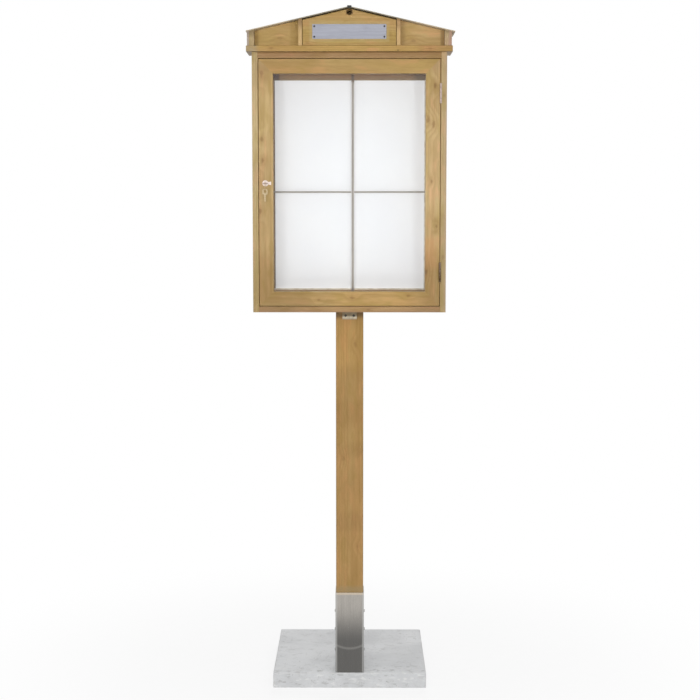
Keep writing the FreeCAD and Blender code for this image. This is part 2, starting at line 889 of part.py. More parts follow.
def lock_body():
    start = Vector(lock_x, lock_front, lock_z)
    face = rod(start, Y_AXIS, lock_face_diameter / 2, lock_face_thickness)
    face = rounded(face, lock_face_thickness / 3, lambda edge: edge_middle(edge).y < lock_front + 0.1)
    barrel = rod(start, Y_AXIS, lock_body_diameter / 2, lock_rear - lock_front)
    body = face.fuse([lock_tab(), barrel])
    body = body.cut(rod(start, Y_AXIS, plug_diameter / 2 + plug_play, lock_rear - lock_front))
    return body.removeSplitter()


def lock_nut():
    seat = Vector(lock_x, door_back, lock_z)
    nut = hexagon(Vector(0, 0, 0), lock_nut_flats, lock_nut_height)
    nut.rotate(Vector(0, 0, 0), Z_AXIS, 30)
    nut = point_along(nut, seat, Y_AXIS)
    return nut.cut(rod(seat, Y_AXIS, lock_body_diameter / 2 + lock_nut_play, lock_nut_height))


def lock_block(half_x, half_z, y0, y1):
    """A box centred on the lock's axis."""
    return box(lock_x - half_x, lock_x + half_x, y0, y1, lock_z - half_z, lock_z + half_z)


def lock_plug():
    """The turning plug, with its keyway, a square tail and a thread hole."""
    start = Vector(lock_x, plug_front, lock_z)
    plug = rod(start, Y_AXIS, plug_diameter / 2, lock_rear - plug_front)
    half = tail_size / 2
    plug = plug.fuse(lock_block(half, half, lock_rear - 1, cam_back + cam_clearance))
    slot_x = key_blade_width / 2 + key_slot_play
    slot_z = key_thickness / 2 + key_slot_play
    slot_end = key_shoulder + key_blade_length + key_slot_play
    plug = plug.cut(lock_block(slot_x, slot_z, plug_front - 1, slot_end))
    return drilled(plug, "pan", cam_screw_diameter, cam_screw_length, cam_screw_places())


def lock_cam():
    """A flat cam that hangs straight down when the lock is open."""
    half = cam_width / 2
    plate = box(lock_x - half, lock_x + half, cam_front, cam_back, lock_z - cam_reach, lock_z)
    plate = plate.common(rod(Vector(lock_x, cam_front, lock_z), Y_AXIS, cam_reach, cam_thickness))
    plate = plate.fuse(rod(Vector(lock_x, cam_front, lock_z), Y_AXIS, half, cam_thickness))
    hole = tail_size / 2 + tail_play
    return plate.cut(lock_block(hole, hole, cam_front - 1, cam_back + 1)).removeSplitter()


def lock_keeper():
    """An angle on the left side of the case; the cam turns in behind its short leg."""
    wall = -case_inner_half
    low = lock_z - keeper_height / 2
    high = lock_z + keeper_height / 2
    long_leg = box(wall, wall + keeper_thickness, keeper_front, keeper_front + keeper_leg, low, high)
    short_leg = box(wall, wall + keeper_reach, keeper_front, keeper_back, low, high)
    keeper = long_leg.fuse(short_leg).removeSplitter()
    return drilled(keeper, "countersunk", keeper_screw_diameter, keeper_screw_length, keeper_screw_places())


# Keys

def flat_key():
    """A key that lies flat in XY: the blade points along +Y from its shoulder at the origin."""
    half_bow = key_bow_width / 2
    bow = box(-half_bow, half_bow, -key_bow_length, 0, 0, key_thickness)
    bow = rounded(bow, half_bow * 0.55, lambda edge: runs_along(edge, Z_AXIS) and edge_middle(edge).y < -1)
    bow = rounded(bow, half_bow * 0.4, lambda edge: runs_along(edge, Z_AXIS) and edge_middle(edge).y > -1)
    half = key_blade_width / 2
    tip = key_blade_length - half
    outline = [(-half, -1), (half, -1), (half, tip), (half * 0.3, key_blade_length)]
    outline += [(-half * 0.3, key_blade_length), (-half, tip)]
    corners = [Vector(x, y, 0) for x, y in outline]
    corners.append(corners[0])
    blade = Part.Face(Part.makePolygon(corners)).extrude(Vector(0, 0, key_thickness))
    hole_y = -key_bow_length + key_rim + key_hole_radius
    shape = bow.fuse(blade)
    shape = shape.cut(rod(Vector(0, hole_y, -1), Z_AXIS, key_hole_radius, key_thickness + 2))
    for index in range(key_notch_count):
        depth = key_notch_depth * (0.7 + 0.3 * (index % 2))
        y = key_first_notch + index * key_notch_pitch
        for side in (-1, 1):
            x = side * (half + depth)
            tooth = Part.makeCylinder(2 * depth, key_thickness + 2, Vector(x, y, -1), Z_AXIS)
            shape = shape.cut(tooth)
    return shape.removeSplitter()


def key():
    """The key in the lock, flat and level."""
    shape = flat_key()
    shape.translate(Vector(lock_x, key_shoulder, lock_z - key_thickness / 2))
    return shape


def key_ring():
    """A wire ring through the bow's hole and round its front rim, hanging down."""
    return Part.makeTorus(ring_radius, ring_wire / 2, Vector(lock_x, ring_y, ring_centre_z), X_AXIS)


def spare_key():
    """A second key that hangs from the bottom of the ring, its flat side to the front."""
    shape = flat_key()
    shape.translate(Vector(0, 0, -key_thickness / 2))
    shape.rotate(Vector(0, 0, 0), X_AXIS, -90)
    hole_top = ring_bottom_z + ring_wire / 2 + spare_key_gap
    shape.translate(Vector(lock_x, ring_y, hole_top + key_rim - key_bow_length))
    return shape


# Ledge and roof

def ledge_board():
    board = box(-ledge_half, ledge_half, ledge_front, case_back, ledge_bottom, ledge_top)
    board = rounded(board, ledge_arris, lambda edge: edge_middle(edge).y < ledge_front + 1)
    return drilled(board, "countersunk", ledge_screw_diameter, ledge_screw_length, ledge_screw_places())


def sloped_board(side, inner, outer, y0, y1):
    """An upright board on the ledge that follows the slope of the roof on top."""
    outline = [
        (side * inner, ledge_top),
        (side * outer, ledge_top),
        (side * outer, roof_underside(outer, sheet_seat)),
        (side * inner, roof_underside(inner, sheet_seat)),
    ]
    board = prism_y(outline, y0, y1)
    return rounded(board, roof_board_arris, front_edges(Z_AXIS, y0 + 1))


def roof_end(side):
    board = sloped_board(side, roof_half - roof_board, roof_half, roof_front, roof_back)
    return drilled(board, "pan", roof_screw_diameter, roof_screw_length, roof_screw_places())


def upright(side):
    """A narrow upright beside the name panel, in front of the recessed board."""
    return sloped_board(side, upright_inner, upright_inner + upright_width, roof_front, recess_front)


def gable_board(y0, y1, with_hole):
    """A board of the roof's full width between the end boards."""
    half = roof_half - roof_board
    outline = gable_outline(half, ledge_top, sheet_seat)
    board = prism_y(outline, y0, y1)
    if with_hole:
        start = Vector(0, y0 - 1, hole_middle)
        board = board.cut(rod(start, Y_AXIS, panel_hole_diameter / 2, y1 - y0 + 2))
    return drilled(board, "pan", roof_screw_diameter, roof_screw_length, roof_screw_places())


def gable_outline(half, foot, top_gap):
    """Five corners under the roof's two slopes."""
    return [
        (-half, foot),
        (half, foot),
        (half, roof_underside(half, top_gap)),
        (0, roof_underside(0, top_gap)),
        (-half, roof_underside(half, top_gap)),
    ]


def gable_panel():
    """The front panel between the uprights, with a round hole under the ridge."""
    outline = gable_outline(panel_half, ledge_top + panel_foot_gap, panel_top_gap)
    panel = prism_y(outline, panel_front, panel_back)
    panel = rounded(panel, roof_board_arris, lambda edge: edge_middle(edge).y < panel_front + 0.1)
    start = Vector(0, panel_front - 1, hole_middle)
    panel = panel.cut(rod(start, Y_AXIS, panel_hole_diameter / 2, panel_thickness + 2))
    return drilled(panel, "pan", plate_screw_diameter, plate_screw_length, plate_screw_places())


def panel_cleats():
    """Two battens on the recessed board that carry the front panel from behind."""
    cleats = []
    for side in (-1, 1):
        x0, x1 = sorted((side * upright_inner, side * (upright_inner - cleat_width)))
        high = roof_underside(upright_inner, panel_top_gap)
        cleats.append(box(x0, x1, panel_back, recess_front, ledge_top, high))
    return Part.makeCompound(cleats)


def roof_sheet(side, overhang):
    """One slope of the covering."""
    end = roof_half + overhang
    outline = [
        (0, roof_peak),
        (side * end, roof_peak - end * roof_fall),
        (side * end, roof_peak - end * roof_fall - sheet_drop),
        (0, roof_peak - sheet_drop),
    ]
    sheet = prism_y(outline, sheet_front, roof_back)
    return drilled(sheet, "pan", roof_screw_diameter, roof_screw_length, roof_screw_places())


def ridge_cap():
    """A narrow strip along the ridge, with a tab turned down over the front edge."""
    half = cap_width / 2
    top = roof_peak + cap_thickness
    edge = roof_peak - half * roof_fall
    outline = [(0, roof_peak), (half, edge), (half, top), (-half, top), (-half, edge)]
    strip = prism_y(outline, sheet_front, roof_back)
    tab = box(-half, half, sheet_front - cap_thickness, sheet_front, top - cap_front_drop, top)
    return strip.fuse(tab).removeSplitter()


def name_plate():
    half_x = plate_width / 2
    half_z = plate_height / 2
    plate = box(-half_x, half_x, plate_front, plate_back, plate_middle - half_z, plate_middle + half_z)
    plate = rounded(plate, plate_corner, lambda edge: runs_along(edge, Y_AXIS))
    return drilled(plate, "pan", plate_screw_diameter, plate_screw_length, plate_screw_places())


def all_nodes():
    """Every sub-component by its node name."""
    nodes = {}
    nodes["base_slab"] = base_slab()
    nodes["post_sleeve"] = post_sleeve()
    nodes["anchor_bolts"], nodes["anchor_washers"], nodes["anchor_nuts"] = anchor_parts()
    nodes["sleeve_screws"] = screws("pan", sleeve_screw_diameter, sleeve_screw_length, sleeve_screw_places())
    nodes["post"] = post()
    nodes["angle_bracket"] = angle_bracket()
    bracket_places = bracket_post_places() + bracket_case_places()
    nodes["bracket_screws"] = screws("pan", bracket_screw_diameter, bracket_screw_length, bracket_places)

    nodes["case_side_left"] = case_side(-1)
    nodes["case_side_right"] = case_side(1)
    nodes["case_top"] = case_top_board()
    nodes["case_bottom"] = case_bottom_board()
    nodes["back_panel"] = back_panel()
    side_screws = screws("countersunk", case_screw_diameter, case_screw_length, case_screw_places())
    top_screws = screws("countersunk", ledge_screw_diameter, ledge_screw_length, ledge_screw_places())
    nodes["case_screws"] = Part.makeCompound([side_screws, top_screws])
    post_places = post_screw_places()
    nodes["post_fixing_screws"] = screws("countersunk", post_screw_diameter, post_screw_length, post_places)
    nodes["pin_board"] = pin_board()
    nodes["battens_level"], nodes["battens_upright"] = battens()
    nodes["divider_strip_upright"], nodes["divider_strip_level"] = strips()
    strip_places = strip_upright_places() + strip_level_places()
    nodes["divider_strip_screws"] = screws("pan", strip_screw_diameter, strip_screw_length, strip_places)
    nodes["door_stops"] = door_stops()

    members, dowels = door_members()
    nodes.update(members)
    nodes["mitre_dowels"] = dowels
    nodes["door_glass"] = door_glass()
    nodes["glazing_beads"] = glazing_beads()

    nodes["hinge_leaves_case"] = hinge_leaves(1)
    nodes["hinge_leaves_door"] = hinge_leaves(-1)
    nodes["hinge_pins"] = hinge_pins()
    nodes["hinge_screws_case"] = hinge_screws(1)
    nodes["hinge_screws_door"] = hinge_screws(-1)

    nodes["lock_body"] = lock_body()
    nodes["lock_nut"] = lock_nut()
    nodes["lock_plug"] = lock_plug()
    nodes["lock_cam"] = lock_cam()
    nodes["cam_screw"] = screws("pan", cam_screw_diameter, cam_screw_length, cam_screw_places())
    nodes["lock_keeper"] = lock_keeper()
    keeper_places = keeper_screw_places()
    nodes["keeper_screws"] = screws("countersunk", keeper_screw_diameter, keeper_screw_length, keeper_places)
    nodes["key"] = key()
    nodes["key_ring"] = key_ring()
    nodes["spare_key"] = spare_key()

    nodes["ledge_board"] = ledge_board()
    nodes["roof_end_left"] = roof_end(-1)
    nodes["roof_end_right"] = roof_end(1)
    nodes["recess_board"] = gable_board(recess_front, recess_front + inner_board, True)
    nodes["roof_back_board"] = gable_board(roof_back - inner_board, roof_back, False)
    nodes["gable_upright_left"] = upright(-1)
    nodes["gable_upright_right"] = upright(1)
    nodes["gable_panel"] = gable_panel()
    nodes["gable_cleats"] = panel_cleats()
    nodes["roof_sheet_left"] = roof_sheet(-1, sheet_left_overhang)
    nodes["roof_sheet_right"] = roof_sheet(1, sheet_right_overhang)
    nodes["ridge_cap"] = ridge_cap()
    nodes["roof_screws"] = screws("pan", roof_screw_diameter, roof_screw_length, roof_screw_places())
    nodes["name_plate"] = name_plate()
    nodes["name_plate_screws"] = screws("pan", plate_screw_diameter, plate_screw_length, plate_screw_places())
    return nodes


os.makedirs("parts", exist_ok=True)
for node, shape in all_nodes().items():
    shape.exportStep("parts/" + node + ".step")
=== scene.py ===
import math

import bmesh
import bpy
import numpy as np
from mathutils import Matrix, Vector


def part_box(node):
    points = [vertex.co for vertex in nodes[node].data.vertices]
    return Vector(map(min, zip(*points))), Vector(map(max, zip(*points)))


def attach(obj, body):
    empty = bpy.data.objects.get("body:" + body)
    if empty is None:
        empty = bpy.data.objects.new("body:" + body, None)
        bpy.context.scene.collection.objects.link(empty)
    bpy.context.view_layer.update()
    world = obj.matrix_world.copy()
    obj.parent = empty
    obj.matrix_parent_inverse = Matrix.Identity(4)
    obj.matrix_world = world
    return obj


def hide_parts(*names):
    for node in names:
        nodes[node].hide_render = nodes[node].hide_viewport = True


# Lockable notice board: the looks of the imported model. Metres, +Z up, -Y to the front.
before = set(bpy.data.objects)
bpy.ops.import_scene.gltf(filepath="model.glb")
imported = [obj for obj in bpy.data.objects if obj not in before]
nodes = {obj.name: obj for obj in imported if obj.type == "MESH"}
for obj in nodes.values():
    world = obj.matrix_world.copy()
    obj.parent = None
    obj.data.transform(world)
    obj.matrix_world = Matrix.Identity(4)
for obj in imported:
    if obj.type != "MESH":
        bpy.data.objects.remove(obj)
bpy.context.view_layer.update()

MM = 0.001
AXES = {"X": 0, "Y": 1, "Z": 2}

# The photograph's viewing angle
CAMERA_PLACE = Vector((0.0327, -4.9527, 1.5756))
CAMERA_PITCH = 0.0984
CAMERA_YAW = -0.0067
CAMERA_LENS = 75.93

# Places on the board: just inside the front faces of the door and the case, the vent hole
# in the gable, the rim of the foot and the middle of the upright strip
FRONT_MM = -358.5
VENT_MM = 2158
SLEEVE_TOP = 317 * MM
STRIP_MIDDLE = 10 * MM


def srgb(red, green, blue):
    """A linear colour from display values of 0 to 255."""
    values = []
    for value in (red, green, blue):
        share = value / 255
        values.append(share / 12.92 if share <= 0.04045 else ((share + 0.055) / 1.055) ** 2.4)
    return tuple(values)


def tinted(colour, red, green, blue):
    return tuple(min(1.0, part * factor) for part, factor in zip(colour, (red, green, blue)))


def on_axis(along, factor):
    """Three factors: the given one on its axis and 1 on the others."""
    return tuple(factor if axis == AXES[along] else 1.0 for axis in range(3))


def placed(name, data):
    """A new object in the scene."""
    thing = bpy.data.objects.new(name, data)
    bpy.context.scene.collection.objects.link(thing)
    return thing


def seen_straight(tree):
    """1 for what the camera sees, also through glass and in gloss, and 0 for the light on the object."""
    ray = tree.nodes.new("ShaderNodeLightPath")
    seen = ray.outputs["Is Camera Ray"]
    for kind in ("Is Glossy Ray", "Is Transmission Ray"):
        either = tree.nodes.new("ShaderNodeMath")
        either.operation = "MAXIMUM"
        tree.links.new(seen, either.inputs[0])
        tree.links.new(ray.outputs[kind], either.inputs[1])
        seen = either.outputs[0]
    return seen


class Shader:
    """A material under construction: short calls that add nodes and link them."""

    def __init__(self, name):
        self.material = bpy.data.materials.new(name)
        self.material.use_nodes = True
        self.tree = self.material.node_tree
        self.tree.nodes.clear()
        self.output = self.add("OutputMaterial")
        coordinates = self.add("TexCoord")
        self.place = coordinates.outputs["Object"]
        self.facing = coordinates.outputs["Normal"]

    def add(self, kind, **settings):
        node = self.tree.nodes.new("ShaderNode" + kind)
        for key, value in settings.items():
            setattr(node, key, value)
        return node

    def feed(self, socket, value):
        if isinstance(value, bpy.types.NodeSocket):
            self.tree.links.new(value, socket)
        elif socket.type == "RGBA" and len(value) == 3:
            socket.default_value = (*value, 1)
        else:
            socket.default_value = value

    def math(self, operation, a, b=0.0):
        node = self.add("Math", operation=operation)
        self.feed(node.inputs[0], a)
        self.feed(node.inputs[1], b)
        return node.outputs[0]

    def times(self, a, b):
        return self.math("MULTIPLY", a, b)

    def size_of(self, value):
        """A value without its sign."""
        return self.math("ABSOLUTE", value)

    def vector(self, operation, a, b=(0, 0, 0)):
        node = self.add("VectorMath", operation=operation)
        self.feed(node.inputs[0], a)
        self.feed(node.inputs[1], b)
        return node.outputs["Value" if operation == "LENGTH" else "Vector"]

    def split(self, vector):
        node = self.add("SeparateXYZ")
        self.feed(node.inputs[0], vector)
        return node.outputs[0], node.outputs[1], node.outputs[2]

    def stretched(self, scale, offset=(0, 0, 0)):
        """Object coordinates with their own scale on each axis."""
        node = self.add("Mapping")
        self.feed(node.inputs["Vector"], self.place)
        node.inputs["Scale"].default_value = scale
        node.inputs["Location"].default_value = offset
        return node.outputs[0]

    def noise(self, vector, scale, detail, roughness=0.5, distortion=0.0):
        node = self.add("TexNoise")
        self.feed(node.inputs["Vector"], vector)
        node.inputs["Scale"].default_value = scale
        node.inputs["Detail"].default_value = detail
        node.inputs["Roughness"].default_value = roughness
        node.inputs["Distortion"].default_value = distortion
        return node.outputs["Fac"]

    def cloud(self, scale, detail, roughness=0.5, distortion=0.0):
        """Noise that is as long as it is wide."""
        return self.noise(self.place, scale, detail, roughness, distortion)

    def pits(self, scale, low, high):
        """Spots round scattered points: 1 in a spot, 0 outside."""
        cells = self.add("TexVoronoi")
        self.feed(cells.inputs["Vector"], self.place)
        cells.inputs["Scale"].default_value = scale
        return self.ramp(cells.outputs["Distance"], low, high, 1.0, 0.0)

    def ramp(self, value, low, high, out_low=0.0, out_high=1.0, smooth=True):
        node = self.add("MapRange")
        node.interpolation_type = "SMOOTHSTEP" if smooth else "LINEAR"
        self.feed(node.inputs["Value"], value)
        limits = {"From Min": low, "From Max": high, "To Min": out_low, "To Max": out_high}
        for key, number in limits.items():
            self.feed(node.inputs[key], number)
        return node.outputs["Result"]

    def mix(self, share, a, b, way="MIX"):
        node = self.add("Mix", data_type="RGBA", blend_type=way)
        self.feed(node.inputs[0], share)
        self.feed(node.inputs[6], a)
        self.feed(node.inputs[7], b)
        return node.outputs[2]

    def wash(self, shade, colour, value, low, high, at_high=1.0, at_low=0.0):
        """A second colour over a shade. Its share goes from at_low to at_high with a value."""
        return self.mix(self.ramp(value, low, high, at_low, at_high), shade, colour)

    def inside(self, low, high, fade):
        """1 inside a box of Object coordinates, 0 farther than fade outside it."""
        centre = tuple((a + b) / 2 for a, b in zip(low, high))
        half = tuple((b - a) / 2 for a, b in zip(low, high))
        away = self.vector("ABSOLUTE", self.vector("SUBTRACT", self.place, centre))
        x, y, z = self.split(self.vector("SUBTRACT", away, half))
        outside = self.math("MAXIMUM", self.math("MAXIMUM", x, y), z)
        return self.ramp(outside, 0.0, fade, 1.0, 0.0)

    def near_edges(self, low, high, reach):
        """1 on the arrises of a box, 0 farther than reach from them."""
        gaps = []
        for part, a, b in zip(self.split(self.place), low, high):
            to_low, to_high = (self.size_of(self.math("SUBTRACT", part, side)) for side in (a, b))
            gaps.append(self.math("MINIMUM", to_low, to_high))
        least = self.math("MINIMUM", gaps[0], gaps[1])
        most = self.math("MAXIMUM", gaps[0], gaps[1])
        middle = self.math("MAXIMUM", least, self.math("MINIMUM", most, gaps[2]))
        return self.ramp(middle, 0.0, reach, 1.0, 0.0)

    def bump(self, height, distance, strength):
        node = self.add("Bump")
        node.inputs["Strength"].default_value = strength
        node.inputs["Distance"].default_value = distance
        self.feed(node.inputs["Height"], height)
        return node.outputs[0]

    def surface(self, colour, roughness, metallic=0.0, normal=None, **sockets):
        node = self.add("BsdfPrincipled")
        self.feed(node.inputs["Base Color"], colour)
        self.feed(node.inputs["Roughness"], roughness)
        self.feed(node.inputs["Metallic"], metallic)
        if normal is not None:
            self.feed(node.inputs["Normal"], normal)
        for key, value in sockets.items():
            self.feed(node.inputs[key.replace("_", " ")], value)
        self.tree.links.new(node.outputs[0], self.output.inputs["Surface"])
        return self.material

    def blend(self, share, first, second):
        """Two kinds of surface in one material."""
        node = self.add("MixShader")
        for socket, value in zip(node.inputs, (share, first, second)):
            self.feed(socket, value)
        self.tree.links.new(node.outputs[0], self.output.inputs["Surface"])


def dress(material, *names):
    """Put one material on whole CAD nodes."""
    for name in names:
        slots = nodes[name].data.materials
        slots.clear()
        slots.append(material)
        for face in nodes[name].data.polygons:
            face.material_index = 0


# ---- wood

RINGS_PER_METRE = 210
RING_SWAY = 55 * MM

# How fast a pattern changes along the grain, against 1 across it
STREAKS_ALONG = 0.06
MOTTLE_ALONG = 0.3
KNOT_ALONG = 0.6


class Knot:
    """A knot: where it is and its radius in millimetres, and how dark it is."""

    def __init__(self, x, y, z, radius, dark):
        self.place = Vector((x, y, z)) * MM
        self.radius = radius * MM
        self.dark = dark


class Patch:
    """A box on a board and how far it fades outside it, in millimetres."""

    def __init__(self, low, high, fade):
        self.low = Vector(low) * MM
        self.high = Vector(high) * MM
        self.fade = fade * MM


class StainAndPaintedLight(Patch):
    """A patch with its own colour, in display values, a little cloudy, and how strong it is. It serves for
    real stains and for painted light and shade.
    """

    def __init__(self, low, high, fade, colour, strength):
        super().__init__(low, high, fade)
        self.colour = srgb(*colour)
        self.strength = strength

    def laid(self, shader, shade):
        mask = shader.inside(self.low, self.high, self.fade)
        uneven = shader.ramp(shader.cloud(60.0, 3.0, 0.6), 0.30, 0.60, 0.55, 1.0)
        return shader.mix(shader.times(mask, shader.times(uneven, self.strength)), shade, self.colour)


class ToneAndPaintedLight(Patch):
    """A patch that is darker or brighter but keeps its grain: three factors on its colour. It serves for the
    wood's own tone and for painted light and shade.
    """

    def __init__(self, low, high, fade, *factors):
        super().__init__(low, high, fade)
        self.factors = factors

    def laid(self, shader, shade):
        return shader.mix(shader.inside(self.low, self.high, self.fade), shade, self.factors, "MULTIPLY")


def pine(node, along, tone, seed, contrast=1.0, knots=(), patches=(), pith=(0.01, 0.085), cloudy=0.34):
    """Stained pine on one CAD node, with its own growth rings, knots and patches. The pith is how far
    the rings' centre lies to the side of the board's middle and behind it."""
    shader = Shader(node + "_pine")
    low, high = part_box(node)
    run = AXES[along]
    offset = (seed * 1.37 % 5, seed * 2.11 % 5, seed * 0.73 % 5)
    streaks = shader.stretched(on_axis(along, STREAKS_ALONG), offset)

    # The grain bends round each knot
    ragged = shader.ramp(shader.cloud(95.0, 1.0, 0.5), 0.3, 0.7, 0.75, 1.25)
    bend = core = halo = 0.0
    for knot in knots:
        from_knot = shader.vector("SUBTRACT", shader.place, knot.place)
        clear = shader.vector("LENGTH", shader.vector("MULTIPLY", from_knot, on_axis(along, KNOT_ALONG)))
        near = shader.ramp(clear, 0.0, knot.radius * 4.5, 1.0, 0.0)
        bend = shader.math("ADD", bend, shader.times(near, knot.radius * 0.8))
        distance = shader.times(clear, ragged)
        heart = shader.ramp(distance, knot.radius * 0.3, knot.radius, knot.dark, 0.0)
        soft = shader.ramp(distance, knot.radius * 0.8, knot.radius * 3.2, knot.dark * 0.5, 0.0)
        core = shader.math("MAXIMUM", core, heart)
        halo = shader.math("MAXIMUM", halo, soft)

    # Rings: the distance from a pith behind the board that wanders a little along it
    sway = shader.noise(streaks, 5.0, 2.0, 0.5)
    across = [axis for axis in range(3) if axis != run]
    thin, wide = sorted(across, key=lambda axis: high[axis] - low[axis])
    centre = [(a + b) / 2 for a, b in zip(low, high)]
    centre[thin] += pith[1]
    centre[wide] += pith[0]
    section = shader.vector("MULTIPLY", shader.vector("SUBTRACT", shader.place, centre), on_axis(along, 0.0))
    radius = shader.math("ADD", shader.vector("LENGTH", section), shader.times(sway, RING_SWAY))
    if knots:
        radius = shader.math("ADD", radius, bend)
    phase = shader.math("FRACT", shader.times(radius, RINGS_PER_METRE))
    late = shader.times(shader.ramp(phase, 0.20, 0.82), shader.ramp(phase, 0.82, 1.0, 1.0, 0.0))

    mottle = shader.noise(shader.stretched(on_axis(along, MOTTLE_ALONG), offset), 42.0, 2.0, 0.55)
    broad = shader.noise(streaks, 34.0, 2.0, 0.55, 0.4)
    hue = shader.noise(streaks, 17.0, 2.0, 0.5, 0.3)
    thread = shader.noise(streaks, 230.0, 2.0, 0.6)
    fibre = shader.noise(streaks, 900.0, 2.0, 0.6)
    cloud = shader.cloud(6.5, 2.0, 0.5)

    dark = tinted(tone, 0.66, 0.58, 0.42)
    shade = shader.wash(tone, tinted(tone, 0.94, 0.94, 0.72), hue, 0.36, 0.52, 0.0, 0.75 * contrast)
    shade = shader.wash(shade, tinted(tone, 1.06, 0.92, 0.88), hue, 0.52, 0.68, 0.75 * contrast)
    shade = shader.wash(shade, dark, broad, 0.46, 0.76, 0.42 * contrast)
    shade = shader.wash(shade, tinted(tone, 0.78, 0.68, 0.62), cloud, 0.40, 0.70, cloudy * contrast)
    shade = shader.wash(shade, tinted(tone, 0.78, 0.76, 0.54), mottle, 0.34, 0.50, 0.0, 0.60 * contrast)
    shade = shader.wash(shade, tinted(tone, 1.14, 0.97, 1.02), mottle, 0.54, 0.70, 0.75 * contrast)
    shade = shader.mix(shader.times(late, 0.36 * contrast), shade, dark)
    shade = shader.wash(shade, dark, thread, 0.46, 0.72, 0.34 * contrast)
    shade = shader.wash(shade, dark, fibre, 0.46, 0.74, 0.34)
    if knots:
        shade = shader.mix(halo, shade, tinted(tone, 0.62, 0.50, 0.36))
        shade = shader.mix(core, shade, tinted(tone, 0.34, 0.22, 0.14))

    # End grain takes more stain, and so do the arrises, where they aren't worn
    end = shader.size_of(shader.split(shader.facing)[run])
    shade = shader.wash(shade, dark, end, 0.6, 0.9, 0.38)
    edges = shader.near_edges(low, high, 3.2 * MM)
    worn = shader.ramp(shader.cloud(120.0, 2.0), 0.35, 0.65, 0.05, 0.22)
    shade = shader.mix(shader.times(edges, worn), shade, tinted(tone, 0.55, 0.48, 0.36))

    for patch in patches:
        shade = patch.laid(shader, shade)

    height = shader.math("ADD", shader.times(late, 0.5), shader.times(fibre, 0.5))
    normal = shader.bump(height, 0.30 * MM, 0.6)
    rough = shader.ramp(broad, 0.3, 0.8, 0.46, 0.62, smooth=False)
    dress(shader.surface(shade, rough, 0.0, normal, Coat_Weight=0.08, Coat_Roughness=0.4), node)


# The wood's own tone on each part, and the display colours of a painted highlight on an edge and of painted
# shade under the roof sheet
STILE = srgb(182, 156, 110)
RAIL = srgb(174, 145, 93)
RAIL_LOW = srgb(171, 145, 95)
CASE_LEVEL = srgb(163, 131, 92)
CASE_UPRIGHT = srgb(181, 161, 120)
LEDGE = srgb(180, 148, 94)
POST = srgb(163, 132, 79)
ROOF_END = srgb(182, 163, 132)
RECESS = srgb(192, 163, 111)
UPRIGHT = srgb(198, 169, 121)
PANEL = srgb(174, 146, 92)
PLY = srgb(184, 152, 104)
BEAD = srgb(188, 158, 112)
EDGE_HIGHLIGHT = (240, 232, 216)
SHADE_UNDER_SHEET = (120, 102, 74)


def knots_at(y, *knots):
    """Knots in a board's front face: each with its x and z, its radius and how dark it is."""
    return [Knot(x, y, z, radius, dark) for x, z, radius, dark in knots]


def on_front(left, foot, right, head, fade, *factors):
    """A tone on the front of the door or the case, from its left foot to its right head."""
    return ToneAndPaintedLight((left, -362, foot), (right, -330, head), fade, *factors)


def painted_opening_line(left, foot, right, head, colour, strength, front=-356):
    """A line along one side of the door's opening, painted in as shade where it is dark and as light where it
    is pale.
    """
    return StainAndPaintedLight((left, front, foot), (right, -336, head), 0.5, colour, strength)


left_stile_knots = knots_at(FRONT_MM, (-270, 1976, 8, 0.48), (-271, 1775, 6, 0.50),
                            (-268, 1711, 6, 0.50), (-276, 1555, 7, 0.50))
right_stile_knots = knots_at(FRONT_MM, (264, 1938, 7, 0.55), (243, 1834, 8, 0.55), (259, 1822, 8, 0.50),
                             (254, 1646, 4, 0.50), (270, 1507, 5, 0.50), (238, 1367, 7, 0.60))
bottom_rail_knots = knots_at(FRONT_MM, (9, 1286, 6, 0.45), (183, 1292, 5, 0.40), (-96, 1279, 4, 0.35))

stile_foot = on_front(-300, 1230, 300, 1370, 110, 0.74, 0.70, 0.60)
stile_head = on_front(-300, 2002, 300, 2025, 35, 0.90, 0.89, 0.94)
left_bright = on_front(-300, 1735, -230, 1905, 50, 1.09, 1.10, 1.12)
right_bright = on_front(230, 1590, 285, 1830, 60, 1.15, 1.19, 1.28)
right_warm = StainAndPaintedLight((228, -362, 1390), (262, -350, 1460), 26, (200, 146, 98), 0.35)
rail_left_end = on_front(-290, 1250, -160, 1310, 60, 0.88, 0.87, 0.88)
rail_right_end = on_front(250, 1250, 300, 1310, 40, 0.90, 0.88, 0.88)
rail_middle = on_front(-20, 1250, 160, 1310, 60, 1.10, 1.08, 1.02)
# Painted shade along the left side and the head of the opening, and painted highlights along its right side
# and its foot
left_shade_line = painted_opening_line(-236, 1305, -234, 1975, (88, 70, 50), 0.85)
right_highlight_line = painted_opening_line(234, 1305, 236, 1975, (240, 232, 208), 0.95)
top_shade_line = painted_opening_line(-235, 1974, 235, 1976, (88, 62, 38), 0.8)
low_highlight_line = painted_opening_line(-235, 1304, 235, 1306, (206, 186, 146), 0.8, -357)

# Painted light on the faces and arrises that face each other across the gap round the door
gap_sides = ((-283.2, 1257, -280.8, 2023), (280.8, 1257, 283.2, 2023),
             (-283.2, 2020.8, 283.2, 2023.2), (-283.2, 1256.8, 283.2, 1259.2))
gap_highlights = [StainAndPaintedLight((left, -358.2, foot), (right, -340, head), 0.15, (226, 190, 132), 0.7)
             for left, foot, right, head in gap_sides]

pine("door_stile_left", "Z", STILE, 1, 1.0, left_stile_knots,
     (stile_foot, stile_head, left_bright, left_shade_line, *gap_highlights), (-0.012, 0.070))
pine("door_stile_right", "Z", STILE, 2, 1.15, right_stile_knots,
     (right_warm, right_bright, stile_foot, stile_head, right_highlight_line, *gap_highlights), (0.016, 0.060))
pine("door_rail_top", "X", RAIL, 3, 0.9, (), (top_shade_line, *gap_highlights), (0.006, 0.080))
pine("door_rail_bottom", "X", RAIL_LOW, 4, 1.1, bottom_rail_knots,
     (rail_left_end, rail_right_end, rail_middle, low_highlight_line, *gap_highlights), (-0.010, 0.062))
pine("glazing_beads", "Z", BEAD, 5, 0.8)

